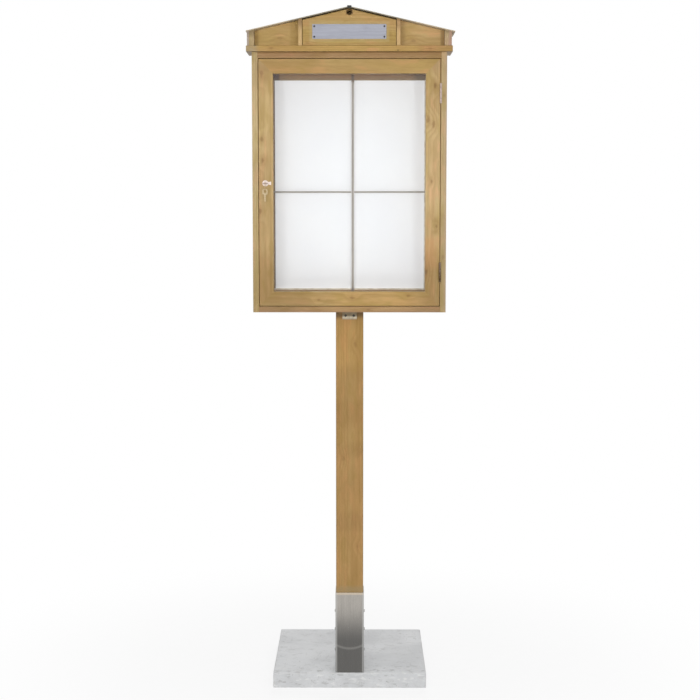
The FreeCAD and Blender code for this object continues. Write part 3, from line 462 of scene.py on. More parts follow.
case_foot = on_front(-300, 1230, 300, 1370, 110, 0.84, 0.82, 0.76)
case_right_dull = on_front(280, 1450, 300, 1530, 30, 0.89, 0.86, 0.84)
case_right_knots = knots_at(FRONT_MM, (292, 1908, 6, 0.3), (290, 1412, 6, 0.34))
case_right_arris = StainAndPaintedLight((296, -360, 1240), (301, -350, 2040), 4, (168, 148, 128), 0.4)
# Painted shade on the case top under the ledge
shade_under_ledge = StainAndPaintedLight((-300, -359.5, 2037), (300, -357, 2041), 4, (138, 104, 58), 0.4)
bottom_left_end = on_front(-300, 1236, -190, 1262, 60, 0.84, 0.85, 0.82)
bottom_right_end = on_front(230, 1236, 300, 1262, 50, 0.86, 0.88, 0.86)
bottom_middle = on_front(-60, 1236, 150, 1262, 50, 1.07, 1.09, 1.06)
bottom_arris = StainAndPaintedLight((-300, -360, 1238), (300, -350, 1243), 5, (146, 116, 88), 0.55)
pine("case_side_left", "Z", CASE_UPRIGHT, 6, 1.0, (), (case_foot, left_bright, *gap_highlights), (0.02, 0.075))
pine("case_side_right", "Z", CASE_UPRIGHT, 7, 1.1, case_right_knots,
     (case_foot, case_right_dull, case_right_arris, *gap_highlights), (-0.03, 0.075))
pine("case_top", "X", CASE_LEVEL, 8, 0.9, (), (shade_under_ledge, *gap_highlights), (0.02, 0.09))
pine("case_bottom", "X", CASE_LEVEL, 9, 1.1, knots_at(FRONT_MM, (60, 1249, 4, 0.3)),
     (bottom_left_end, bottom_right_end, bottom_middle, bottom_arris, *gap_highlights), (-0.02, 0.07))

# The battens behind the glass: painted shade at the head and on the left, with a painted highlight on the
# edge at the foot and on the right
batten_head_shade = (ToneAndPaintedLight((-300, -275, 1955), (300, -259, 2000), 4, 0.74, 0.76, 0.86),
               StainAndPaintedLight((-300, -275, 1972), (300, -259, 1990), 4, (150, 104, 58), 0.6),
               StainAndPaintedLight((-236, -275, 1958), (-224, -259, 1980), 8, (76, 50, 46), 0.85),
               StainAndPaintedLight((205, -275, 1962), (236, -259, 1980), 10, (96, 84, 66), 0.6))
batten_left_shade = StainAndPaintedLight((-237, -275, 1240), (-226, -259, 2040), 1.5, (92, 70, 48), 0.95)
batten_foot_highlight = StainAndPaintedLight((-300, -276, 1306.5), (300, -259, 1312), 0.8, EDGE_HIGHLIGHT, 0.85)
batten_right_highlight = StainAndPaintedLight((230, -276, 1300), (238, -259, 1975), 0.8, EDGE_HIGHLIGHT, 0.85)
pine("battens_level", "X", CASE_LEVEL, 10, 0.8, (), (*batten_head_shade, batten_foot_highlight))
pine("battens_upright", "Z", CASE_LEVEL, 11, 0.8, (), (batten_left_shade, batten_right_highlight))
pine("door_stops", "X", CASE_LEVEL, 12, 0.8)

ledge_knots = knots_at(-378.5, (-238, 2050, 5, 0.35), (246, 2048, 5, 0.3))
ledge_left_end = StainAndPaintedLight((-318, -380, 2038), (-290, -240, 2060), 16, (146, 140, 122), 0.55)
ledge_right_end = ToneAndPaintedLight((225, -382, 2036), (320, -366, 2060), 30, 0.89, 0.87, 0.88)
ledge_mark = StainAndPaintedLight((148, -380, 2039), (150, -377, 2044), 3.5, (78, 62, 34), 0.85)
# Painted shade on the underside of the ledge and along the foot of its front
ledge_underside_shade = StainAndPaintedLight((-322, -382, 2034), (322, -230, 2040.2), 1.2, (104, 80, 40), 0.75)
pine("ledge_board", "X", LEDGE, 14, 1.1, ledge_knots,
     (ledge_left_end, ledge_right_end, ledge_mark, ledge_underside_shade), (0.02, 0.08))

# On each roof end: painted shade under the roof sheet, a darker strip along the outer edge and a grey-pink
# strip inside it; the left end also darkens towards its top
roof_left_patches = (ToneAndPaintedLight((-320, -382, 2092), (-288, -366, 2140), 12, 0.74, 0.73, 0.66),
                     ToneAndPaintedLight((-320, -382, 2058), (-307, -366, 2140), 4, 0.78, 0.76, 0.68),
                     StainAndPaintedLight((-314, -378, 2098), (-290, -370, 2112), 14, SHADE_UNDER_SHEET, 0.75),
                     StainAndPaintedLight((-314, -378, 2058), (-308, -372, 2112), 3, (170, 160, 158), 0.6))
roof_right_patches = (ToneAndPaintedLight((305, -382, 2058), (320, -366, 2140), 4, 0.76, 0.76, 0.76),
                      StainAndPaintedLight((290, -378, 2100), (314, -370, 2112), 10, SHADE_UNDER_SHEET, 0.6),
                      StainAndPaintedLight((305, -378, 2058), (314, -372, 2112), 3, (186, 142, 132), 0.45))
pine("roof_end_left", "Y", ROOF_END, 15, 1.1, (), roof_left_patches)
pine("roof_end_right", "Y", ROOF_END, 16, 1.0, (), roof_right_patches)

recess_knots = knots_at(-345.5, (196, 2076, 7, 0.3), (-214, 2083, 6, 0.25))
# Painted shade in the recess beside the roof ends and the gable uprights
recess_shade = (StainAndPaintedLight((-292, -347, 2058), (-284, -333, 2130), 8, (130, 102, 54), 0.6),
                StainAndPaintedLight((-176, -347, 2058), (-156, -333, 2150), 10, (146, 118, 58), 0.45),
                StainAndPaintedLight((284, -347, 2058), (292, -333, 2130), 8, (130, 102, 62), 0.6),
                StainAndPaintedLight((156, -347, 2058), (166, -333, 2150), 12, (146, 118, 74), 0.45))
pine("recess_board", "X", RECESS, 17, 1.0, recess_knots, recess_shade, (0.0, 0.07))

# Painted shade on the heads of the gable uprights, under the roof sheets
upright_heads_shade = StainAndPaintedLight((-157, -380, 2136), (157, -340, 2150), 46, (120, 92, 58), 0.8)
pine("gable_upright_left", "Z", UPRIGHT, 18, 0.9, (), (upright_heads_shade,))
pine("gable_upright_right", "Z", UPRIGHT, 19, 0.9, (), (upright_heads_shade,))
panel_knots = knots_at(-374.5, (-128, 2066, 5, 0.25), (126, 2092, 6, 0.25))
round_plate = StainAndPaintedLight((-119, -375, 2072), (119, -374, 2128), 6, (176, 160, 116), 0.35)
# Painted shade in the vent hole and round its rim
vent_shade = StainAndPaintedLight((-7, -376, VENT_MM - 3), (7, -340, VENT_MM + 7), 6, (58, 26, 14), 0.95)
pine("gable_panel", "X", PANEL, 20, 1.2, panel_knots, (round_plate, vent_shade), (0.01, 0.05))
pine("gable_cleats", "Z", PANEL, 21, 0.8)

post_knots = knots_at(-244.5, (18, 1130, 7, 0.3), (-20, 760, 6, 0.28), (26, 470, 5, 0.25))
# The first band is painted light on the top of the post, in the case's shade; the others are darker tone
post_bands_and_light = ((1080, 1175, 60, 1.15, 1.15, 1.10), (885, 925, 40, 0.93, 0.91, 0.88),
              (775, 795, 30, 0.93, 0.92, 0.90), (540, 565, 34, 0.91, 0.90, 0.90))
post_tones_and_light = [ToneAndPaintedLight((-50, -250, foot), (50, -150, head), *rest) for foot, head, *rest in post_bands_and_light]
case_shadow = StainAndPaintedLight((-46, -247, 1222), (46, -240, 1240), 18, (88, 66, 36), 0.8)
damp_foot = StainAndPaintedLight((-46, -247, 300), (46, -154, 330), 16, (140, 122, 88), 0.6)
pine("post", "Z", POST, 22, 0.9, post_knots, (*post_tones_and_light, case_shadow, damp_foot), (0.012, 0.012), 0.6)


def plywood(*names):
    """Rotary-cut veneer: broad soft figure with thin glue lines on the edges."""
    shader = Shader("veneer_plywood")
    streaks = shader.stretched((1.0, 1.0, 0.10), (0.4, 0.9, 0.2))
    figure = shader.noise(streaks, 16.0, 3.0, 0.5, 2.2)
    contour = shader.math("FRACT", shader.times(figure, 9.0))
    line = shader.times(shader.ramp(contour, 0.3, 0.9), shader.ramp(contour, 0.9, 1.0, 1.0, 0.0))
    fibre = shader.noise(streaks, 800.0, 2.0, 0.6)
    shade = shader.mix(shader.times(line, 0.5), PLY, tinted(PLY, 0.68, 0.60, 0.46))
    shade = shader.wash(shade, tinted(PLY, 0.60, 0.52, 0.40), fibre, 0.45, 0.8, 0.3)
    depth = shader.split(shader.place)[1]
    glue = shader.ramp(shader.math("PINGPONG", depth, 0.9 * MM), 0.0, 0.3 * MM, 0.7, 0.0)
    edge_on = shader.ramp(shader.size_of(shader.split(shader.facing)[1]), 0.3, 0.7, 1.0, 0.0)
    shade = shader.mix(shader.times(glue, edge_on), shade, tinted(PLY, 0.38, 0.30, 0.22))
    normal = shader.bump(fibre, 0.2 * MM, 0.5)
    dress(shader.surface(shade, 0.62, 0.0, normal), *names)


def beech(*names):
    """Short dowels of close-grained wood."""
    shader = Shader("turned_beech")
    flecks = shader.noise(shader.stretched((1.0, 1.0, 0.2)), 420.0, 2.0, 0.6)
    shade = shader.wash(srgb(208, 172, 122), srgb(170, 128, 84), flecks, 0.45, 0.75)
    dress(shader.surface(shade, 0.6, 0.0, shader.bump(flecks, 0.1 * MM, 0.5)), *names)


plywood("back_panel", "roof_back_board")
beech("mitre_dowels")


# ---- stone, metal, board and glass

def cast_concrete(*names):
    """Pale cast concrete with small air holes, fine sand and darker marks."""
    shader = Shader("cast_concrete")
    sand = shader.cloud(700.0, 3.0, 0.65)
    cloud = shader.cloud(7.0, 4.0, 0.6)
    blotch = shader.cloud(42.0, 4.0, 0.65, 0.8)
    sparse = shader.ramp(shader.cloud(24.0, 1.0), 0.50, 0.62)
    holes = shader.times(shader.pits(120.0, 0.08, 0.20), sparse)
    grains = shader.pits(420.0, 0.10, 0.24)
    low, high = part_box(names[0])
    # Painted shade: the upright faces take a darker copy of the top's colour
    upright = shader.ramp(shader.size_of(shader.split(shader.facing)[2]), 0.3, 0.7, 1.0, 0.0)
    top = shader.wash(srgb(222, 223, 224), srgb(208, 209, 210), cloud, 0.35, 0.70)
    side = shader.wash(srgb(204, 205, 206), srgb(193, 194, 195), cloud, 0.35, 0.70)
    shade = shader.mix(upright, top, side)
    shade = shader.wash(shade, srgb(182, 182, 181), blotch, 0.54, 0.66, 0.45)
    shade = shader.wash(shade, srgb(160, 159, 157), sand, 0.50, 0.75, 0.28)
    shade = shader.mix(shader.times(grains, 0.25), shade, srgb(232, 231, 228))
    shade = shader.mix(shader.times(holes, 0.75), shade, srgb(122, 121, 118))

    # Flat chips and smears, clearest along the front
    chips = shader.noise(shader.stretched((0.6, 0.8, 1.6)), 52.0, 3.0, 0.6, 0.5)
    in_front = shader.ramp(shader.split(shader.place)[1], low[1] + 20 * MM, low[1] + 130 * MM, 1.0, 0.0)
    dark_chips = shader.times(in_front, shader.ramp(chips, 0.58, 0.66, 0.0, 0.55))
    pale_chips = shader.times(in_front, shader.ramp(chips, 0.34, 0.42, 0.5, 0.0))
    shade = shader.mix(dark_chips, shade, srgb(160, 160, 158))
    shade = shader.mix(pale_chips, shade, srgb(226, 226, 224))
    worn = shader.ramp(blotch, 0.35, 0.6, 0.2, 0.7)
    edges = shader.times(shader.near_edges(low, high, 6 * MM), worn)
    shade = shader.mix(edges, shade, srgb(196, 196, 195))
    height = shader.math("SUBTRACT", shader.times(sand, 0.35), holes)
    dress(shader.surface(shade, 0.88, 0.0, shader.bump(height, 1.2 * MM, 0.55)), *names)


# How fast brushing lines change along their length, against 1 across it
BRUSHING_ALONG = 0.02


def brushed(name, colour, dark, along, names, roughness, streak, finish=None):
    """Metal with fine brushing lines along one axis. A finish may change the shade by its place."""
    shader = Shader(name)
    streaks = shader.stretched(on_axis(along, BRUSHING_ALONG))
    lines = shader.noise(streaks, 1500.0, 3.0, 0.6)
    wide_lines = shader.noise(streaks, 260.0, 2.0, 0.5)
    cloud = shader.cloud(18.0, 3.0, 0.6)
    shade = shader.wash(colour, dark, lines, 0.35, 0.75, streak)
    shade = shader.wash(shade, dark, wide_lines, 0.45, 0.70, streak * 0.6)
    shade = shader.wash(shade, dark, cloud, 0.45, 0.75, streak * 0.6)
    if finish is not None:
        shade = finish(shader, shade)
    rough = shader.ramp(lines, 0.3, 0.8, roughness - 0.07, roughness + 0.10, smooth=False)
    material = shader.surface(shade, rough, 1.0, shader.bump(lines, 0.06 * MM, 0.4))
    dress(material, *names)
    return material


def upright_strip_painted_light(shader, shade):
    """Painted highlights on both edges of a darker face, and painted shade at both ends, where the battens
    shade it.
    """
    x, _, z = shader.split(shader.place)
    from_middle = shader.size_of(shader.math("SUBTRACT", x, STRIP_MIDDLE))
    shade = shader.wash(shade, srgb(250, 248, 246), from_middle, 2.6 * MM, 3.6 * MM, 0.85)
    shade = shader.wash(shade, srgb(112, 88, 62), z, 1950 * MM, 1964 * MM, 0.85)
    return shader.wash(shade, srgb(128, 108, 84), z, 1302 * MM, 1312 * MM, 0.0, 0.8)


def foot_painted_reflections(shader, shade):
    """Painted reflections and highlights on the foot: it darkens towards the slab, with a pale rim under its
    top, pale corners and a faint bowed band.
    """
    x, y, z = shader.split(shader.place)
    shade = shader.wash(shade, srgb(86, 86, 85), z, 150 * MM, 290 * MM, 0.0, 0.86)
    shade = shader.wash(shade, srgb(214, 198, 176), z, SLEEVE_TOP - 9 * MM, SLEEVE_TOP - 5 * MM, 0.7)
    bow = shader.times(shader.times(x, x), 6.0)
    from_band = shader.size_of(shader.math("SUBTRACT", shader.math("SUBTRACT", z, bow), 131 * MM))
    front = shader.ramp(y, -246.5 * MM, -245.5 * MM, 0.30, 0.0)
    band = shader.times(shader.ramp(from_band, 1.0 * MM, 6 * MM, 1.0, 0.0), front)
    shade = shader.mix(band, shade, srgb(170, 168, 164))
    return shader.wash(shade, srgb(196, 196, 194), shader.size_of(x), 39 * MM, 43 * MM, 0.5)


def plated(name, colour, dark, names, roughness, grain=180.0, metallic=1.0, finish=None):
    """Plated metal with a fine mottle and duller patches."""
    shader = Shader(name)
    mottle = shader.cloud(grain, 3.0, 0.6)
    dull = shader.cloud(grain * 3.5, 2.0, 0.5)
    shade = shader.wash(colour, dark, mottle, 0.40, 0.75, 0.6)
    shade = shader.wash(shade, dark, dull, 0.50, 0.80, 0.3)
    if finish is not None:
        shade = finish(shader, shade)
    rough = shader.ramp(mottle, 0.3, 0.8, roughness - 0.06, roughness + 0.14, smooth=False)
    material = shader.surface(shade, rough, metallic, shader.bump(mottle, 0.08 * MM, 0.35))
    dress(material, *names)
    return material


def rusty_lower_hinge(shader, shade):
    """The lower hinge has gone brown, most of all at its foot."""
    height = shader.split(shader.place)[2]
    lower = shader.ramp(height, 1500 * MM, 1600 * MM, 1.0, 0.0)
    foot = shader.ramp(height, 1345 * MM, 1395 * MM, 1.0, 0.78)
    speckle = shader.ramp(shader.cloud(300.0, 3.0, 0.6), 0.3, 0.6, 0.75, 1.0)
    share = shader.times(shader.times(lower, foot), speckle)
    rust = shader.mix(shader.cloud(160.0, 2.0), srgb(98, 84, 54), srgb(84, 56, 34))
    return shader.mix(share, shade, rust)


def shaded_bracket(shader, shade):
    """The upright leg is bright across its middle, with painted shade under the case, and darker along its
    lower edge.
    """
    height = shader.split(shader.place)[2]
    shade = shader.wash(shade, srgb(98, 82, 56), height, 1215 * MM, 1223 * MM, 0.75)
    return shader.wash(shade, srgb(140, 114, 84), height, 1210 * MM, 1214 * MM, 0.0, 0.55)


def sheet_edges(shader, shade):
    """The front edges and the undersides of the roof sheets turn pale towards the eaves."""
    from_ridge = shader.size_of(shader.split(shader.place)[0])
    front, under = (shader.ramp(part, -0.8, -0.5, 1.0, 0.0) for part in shader.split(shader.facing)[1:])
    bare = shader.math("MAXIMUM", front, under)
    pale = shader.times(bare, shader.ramp(from_ridge, 130 * MM, 240 * MM, 0.0, 0.75))
    return shader.mix(pale, shade, srgb(186, 168, 140))


def coated(name, colour, dark, names, roughness=0.6, finish=None):
    """A matt coat, weathered in patches and scuffed at its edges."""
    shader = Shader(name)
    low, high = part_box(names[0])
    cloud = shader.cloud(24.0, 4.0, 0.6)
    fine = shader.cloud(700.0, 2.0, 0.6)
    runs = shader.noise(shader.stretched((1.0, 0.08, 1.0)), 90.0, 3.0, 0.6)
    shade = shader.wash(colour, dark, cloud, 0.40, 0.72, 0.7)
    shade = shader.wash(shade, dark, runs, 0.50, 0.75, 0.4)
    shade = shader.wash(shade, tinted(colour, 1.25, 1.25, 1.25), fine, 0.55, 0.8, 0.3)
    worn = shader.ramp(fine, 0.4, 0.6, 0.1, 0.6)
    scuffs = shader.times(shader.near_edges(low, high, 2.5 * MM), worn)
    shade = shader.mix(scuffs, shade, tinted(colour, 1.35, 1.32, 1.25))
    if finish is not None:
        shade = finish(shader, shade)
    dress(shader.surface(shade, roughness, 0.0, shader.bump(fine, 0.2 * MM, 0.4)), *names)


def white_board(*names):
    """A matt white face with a fine tooth and a few pin holes."""
    shader = Shader("white_board")
    cloud = shader.cloud(5.0, 3.0, 0.5)
    tooth = shader.cloud(1500.0, 2.0, 0.6)
    sparse = shader.ramp(shader.cloud(9.0, 1.0), 0.60, 0.66)
    pin_holes = shader.times(shader.pits(34.0, 0.018, 0.03), sparse)
    shade = shader.wash(srgb(250, 249, 252), srgb(247, 246, 250), cloud, 0.35, 0.7)
    shade = shader.mix(shader.times(pin_holes, 0.5), shade, srgb(150, 148, 144))
    height = shader.math("SUBTRACT", shader.times(tooth, 0.3), pin_holes)
    dress(shader.surface(shade, 0.6, 0.0, shader.bump(height, 0.1 * MM, 0.35)), *names)


def window_glass(*names):
    """Clear float glass that lets the lamps through to the board, with a faint smear."""
    shader = Shader("window_glass")
    smear = shader.cloud(12.0, 3.0, 0.6)
    glass = shader.add("BsdfPrincipled")
    shader.feed(glass.inputs["Base Color"], (0.985, 0.992, 0.990))
    shader.feed(glass.inputs["Roughness"], shader.ramp(smear, 0.45, 0.8, 0.0, 0.02))
    glass.inputs["Transmission Weight"].default_value = 1.0
    glass.inputs["IOR"].default_value = 1.45
    clear = shader.add("BsdfTransparent")
    shader.feed(clear.inputs["Color"], (0.97, 0.98, 0.975))
    ray = shader.add("LightPath")
    lit = shader.math("MAXIMUM", ray.outputs["Is Shadow Ray"], ray.outputs["Is Diffuse Ray"])
    shader.blend(lit, glass.outputs[0], clear.outputs[0])
    dress(shader.material, *names)


cast_concrete("base_slab")
stainless = brushed("brushed_stainless", srgb(181, 176, 169), srgb(146, 142, 137), "Z",
                    ["post_sleeve"], 0.30, 0.35, foot_painted_reflections)
window_glass("door_glass")
white_board("pin_board")
brushed("strip_aluminium", srgb(186, 177, 168), srgb(150, 140, 130), "Z",
        ["divider_strip_upright"], 0.42, 0.4, upright_strip_painted_light)
brushed("strip_aluminium_level", srgb(186, 177, 169), srgb(137, 127, 119), "X",
        ["divider_strip_level"], 0.42, 0.4)
brushed("plate_aluminium", srgb(186, 188, 199), srgb(148, 149, 160), "X", ["name_plate"], 0.42, 0.45)
zinc = plated("zinc_plate", srgb(200, 198, 192), srgb(150, 147, 140),
              ["anchor_bolts", "anchor_nuts", "anchor_washers",
               "lock_nut", "lock_cam", "cam_screw", "lock_keeper"], 0.36)
dark_screw = plated("worn_screw", srgb(88, 86, 84), srgb(52, 50, 48), [], 0.42, 400.0)
plated("bracket_zinc", srgb(214, 204, 182), srgb(176, 164, 138), ["angle_bracket"], 0.40,
       finish=shaded_bracket)
plated("hinge_zinc", srgb(212, 194, 184), srgb(156, 132, 122),
       ["hinge_leaves_case", "hinge_leaves_door", "hinge_pins"], 0.36, finish=rusty_lower_hinge)
plated("lock_nickel", srgb(250, 236, 226), srgb(226, 206, 196), ["lock_body", "lock_plug"], 0.34, 320.0, 0.75)
key_nickel = plated("key_nickel", srgb(216, 196, 160), srgb(170, 146, 108), ["spare_key"], 0.30, 300.0)
plated("key_nickel_worn", srgb(178, 156, 150), srgb(138, 118, 112), ["key"], 0.34, 300.0)
coated("roof_coat", srgb(142, 133, 114), srgb(110, 100, 82), ["roof_sheet_left", "roof_sheet_right"],
       finish=sheet_edges)
coated("ridge_coat", srgb(46, 47, 44), srgb(28, 29, 28), ["ridge_cap"], 0.45)


# ---- Geometry Nodes

def new_tree(name, *inputs):
    """A tree with named inputs for its sizes, and one for its finish."""
    tree = bpy.data.node_groups.new(name, "GeometryNodeTree")
    for label, kind in (("Geometry", "Geometry"), *inputs, ("Finish", "Material")):
        tree.interface.new_socket(label, in_out="INPUT", socket_type="NodeSocket" + kind)
    tree.interface.new_socket("Geometry", in_out="OUTPUT", socket_type="NodeSocketGeometry")
    return tree, tree.nodes.new("NodeGroupInput")


def close_tree(tree, given, geometry):
    """The end of a tree: real geometry with its finish."""
    link = tree.links.new
    real = tree.nodes.new("GeometryNodeRealizeInstances")
    link(geometry, real.inputs["Geometry"])
    finish = tree.nodes.new("GeometryNodeSetMaterial")
    link(real.outputs["Geometry"], finish.inputs["Geometry"])
    link(given.outputs["Finish"], finish.inputs["Material"])
    link(finish.outputs["Geometry"], tree.nodes.new("NodeGroupOutput").inputs["Geometry"])
    return tree


def grown(name, mesh, tree, inputs):
    """What a tree makes of a mesh, as a plain piece at the origin."""
    carrier = placed(name + "_carrier", mesh)
    modifier = carrier.modifiers.new(name, "NODES")
    modifier.node_group = tree
    for item in tree.interface.items_tree:
        if item.name in inputs:
            modifier[item.identifier] = inputs[item.name]
    bpy.context.view_layer.update()
    evaluated = carrier.evaluated_get(bpy.context.evaluated_depsgraph_get())
    result = bpy.data.meshes.new_from_object(evaluated)
    result.name = name
    carrier.modifiers.clear()
    bpy.data.objects.remove(carrier)
    return placed(name, result)


# ---- screws

HEAD_SIDES = 16
SHANK_SIDES = 10

# A screw in shares of its diameter. Its head is two diameters wide. Each outline of a head goes
# from the edge of its top, down over its rim to the shank, as pairs of radius and height.
PAN_OUTLINE = ((0.58, -0.60), (0.78, -0.53), (0.92, -0.40), (0.99, -0.22), (1.0, -0.02), (0.96, 0.0))
SUNK_OUTLINE = ((0.62, 0.0), (0.97, 0.0), (1.0, 0.04), (0.50, 0.5))
PAN_HEIGHT = 0.6
SHANK_START_IN_PAN = -0.1
SHANK_START_IN_SUNK = 0.4
THREAD_ROOT = 0.36
THREAD_CREST = 0.50
THREAD_PITCH = 0.44
# The cross recess: the reach and half the width of its arms at the top and on its floor
RECESS_TOP = (0.46, 0.12)
RECESS_FLOOR = (0.20, 0.06)
RECESS_DEPTH = 0.34


def separate_solids(node):
    """The corner points of each solid in a CAD node, from a merged copy of its mesh."""
    solid = bmesh.new()
    solid.from_mesh(nodes[node].data)
    bmesh.ops.remove_doubles(solid, verts=solid.verts, dist=1e-6)
    solids = []
    seen = set()
    for start in solid.verts:
        if start in seen:
            continue
        seen.add(start)
        waiting = [start]
        points = []
        while waiting:
            vertex = waiting.pop()
            points.append(tuple(vertex.co))
            for edge in vertex.link_edges:
                other = edge.other_vert(vertex)
                if other not in seen:
                    seen.add(other)
                    waiting.append(other)
        solids.append(np.array(points))
    solid.free()
    return solids


def screw_measures(points):
    """A CAD screw's seat, inward direction, diameter and length, and whether its head is a pan."""
    middle = points.mean(0)
    axis = np.linalg.svd(points - middle, full_matrices=False)[2][0]
    along = (points - middle) @ axis
    off_axis = np.linalg.norm(points - middle - np.outer(along, axis), axis=1)
    if along[off_axis.argmax()] > 0:
        axis, along = -axis, -along
    lowest = along.min()
    diameter = float(off_axis.max())
    pan = off_axis[along < lowest + 1e-5].max() < 0.9 * diameter
    seat = lowest + (PAN_HEIGHT * diameter if pan else 0.0)
    return Vector(middle + axis * seat), Vector(axis), diameter, float(along.max() - seat), pan


def ring_of(form, radius, height, sides=HEAD_SIDES):
    turns = [2 * math.pi * step / sides for step in range(sides)]
    return [form.verts.new((radius * math.cos(turn), radius * math.sin(turn), height)) for turn in turns]


def join_rings(form, first, second):
    count = len(first)
    for step in range(count):
        after = (step + 1) % count
        form.faces.new((first[step], first[after], second[after], second[step]))


def cross_outline(form, diameter, shares, height):
    """The twelve corners of a cross recess, anticlockwise from above."""
    arm, half_width = (share * diameter for share in shares)
    corners = []
    for quarter in range(4):
        cosine, sine = math.cos(quarter * math.pi / 2), math.sin(quarter * math.pi / 2)
        for x, y in ((arm, -half_width), (arm, half_width), (half_width, half_width)):
            corners.append(form.verts.new((x * cosine - y * sine, x * sine + y * cosine, height)))
    return corners


def screw_form(name, diameter, length, pan):
    """A threaded screw with a cross recess. Its seat is at 0 and its point is at +Z."""
    form = bmesh.new()
    outline = PAN_OUTLINE if pan else SUNK_OUTLINE
    top = outline[0][1] * diameter
    shank_start = (SHANK_START_IN_PAN if pan else SHANK_START_IN_SUNK) * diameter
    rings = [ring_of(form, radius * diameter, height * diameter) for radius, height in outline]
    for first, second in zip(rings, rings[1:]):
        join_rings(form, second, first)
    form.faces.new(rings[-1])

    # The flat round the recess, and the recess itself
    rim = cross_outline(form, diameter, RECESS_TOP, top)
    floor = cross_outline(form, diameter, RECESS_FLOOR, top + RECESS_DEPTH * diameter)
    edges = [form.edges.new(pair) for pair in zip(rim, rim[1:] + rim[:1])]
    edges += [form.edges.get(pair) for pair in zip(rings[0], rings[0][1:] + rings[0][:1])]
    bmesh.ops.triangle_fill(form, edges=edges, use_beauty=True)
    join_rings(form, rim, floor)
    form.faces.new(floor)

    # The shank: ridges and hollows by turns, then the point
    root = THREAD_ROOT * diameter
    crest = THREAD_CREST * diameter
    pitch = THREAD_PITCH * diameter
    threads = max(2, int((length - diameter - shank_start - pitch) / pitch))
    last = ring_of(form, root, shank_start, SHANK_SIDES)
    form.faces.new(last)
    for turn in range(threads):
        base = shank_start + pitch * (turn + 0.5)
        ridge = ring_of(form, crest, base, SHANK_SIDES)
        hollow = ring_of(form, root, base + pitch * 0.5, SHANK_SIDES)
        join_rings(form, last, ridge)
        join_rings(form, ridge, hollow)
        last = hollow
    tip = form.verts.new((0, 0, length))
    for step in range(SHANK_SIDES):
        form.faces.new((last[step], last[(step + 1) % SHANK_SIDES], tip))
    bmesh.ops.recalc_face_normals(form, faces=form.faces)
    mesh = bpy.data.meshes.new(name)
    form.to_mesh(mesh)
    form.free()
    return placed(name, mesh)


def screw_tree():
    """Geometry Nodes: one screw on each point, turned to its direction and rolled by a seeded chance."""
    tree, given = new_tree("screws_on_points", ("Screw", "Object"), ("Roll Seed", "Int"))
    add = tree.nodes.new
    link = tree.links.new
    inward = add("GeometryNodeInputNamedAttribute")
    inward.data_type = "FLOAT_VECTOR"
    inward.inputs["Name"].default_value = "inward"
    aim = add("FunctionNodeAlignRotationToVector")
    aim.axis = "Z"
    link(inward.outputs["Attribute"], aim.inputs["Vector"])
    source = add("GeometryNodeObjectInfo")
    link(given.outputs["Screw"], source.inputs["Object"])
    instances = add("GeometryNodeInstanceOnPoints")
    link(given.outputs["Geometry"], instances.inputs["Points"])
    link(source.outputs["Geometry"], instances.inputs["Instance"])
    link(aim.outputs["Rotation"], instances.inputs["Rotation"])
    roll = add("FunctionNodeRandomValue")
    roll.data_type = "FLOAT_VECTOR"
    roll.inputs["Min"].default_value = (0, 0, 0)
    roll.inputs["Max"].default_value = (0, 0, math.tau)
    link(given.outputs["Roll Seed"], roll.inputs["Seed"])
    turned = add("GeometryNodeRotateInstances")
    link(instances.outputs["Instances"], turned.inputs["Instances"])
    link(roll.outputs["Value"], turned.inputs["Rotation"])
    return close_tree(tree, given, turned.outputs["Instances"])


SCREWS = screw_tree()


def threaded_screws(node, body, finish, seed):
    """Replace a CAD node's plain screws by threaded ones with a cross recess."""
    solids = [screw_measures(points) for points in separate_solids(node)]
    seats, directions, diameters, lengths, pans = zip(*solids)
    form = screw_form(node + "_form", diameters[0], lengths[0], pans[0])
    mesh = bpy.data.meshes.new(node + "_points")
    mesh.from_pydata([tuple(seat) for seat in seats], [], [])
    inward = mesh.attributes.new("inward", "FLOAT_VECTOR", "POINT")
    inward.data.foreach_set("vector", [part for direction in directions for part in direction])
    piece = grown(node + "_threaded", mesh, SCREWS, {"Screw": form, "Roll Seed": seed, "Finish": finish})
    bpy.data.objects.remove(form)
    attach(piece, body)
    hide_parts(node)


threaded_screws("sleeve_screws", "case", stainless, 3)
threaded_screws("bracket_screws", "case", dark_screw, 5)
threaded_screws("name_plate_screws", "case", dark_screw, 7)
for node, seed in (("roof_screws", 11), ("case_screws", 13), ("post_fixing_screws", 31),
                   ("divider_strip_screws", 17), ("keeper_screws", 19), ("hinge_screws_case", 23)):
    threaded_screws(node, "case", zinc, seed)
threaded_screws("hinge_screws_door", "door", zinc, 29)


# ---- key ring

RING_CENTRE = Vector((-260, -377.15, 1630.55)) * MM
RING_RADIUS = 12 * MM
WIRE_WIDTH = 0.8 * MM
WIRE_THICKNESS = 1.5 * MM
RING_TURNS = 2.0
STEPS_PER_TURN = 48
WIRE_SIDES = 10


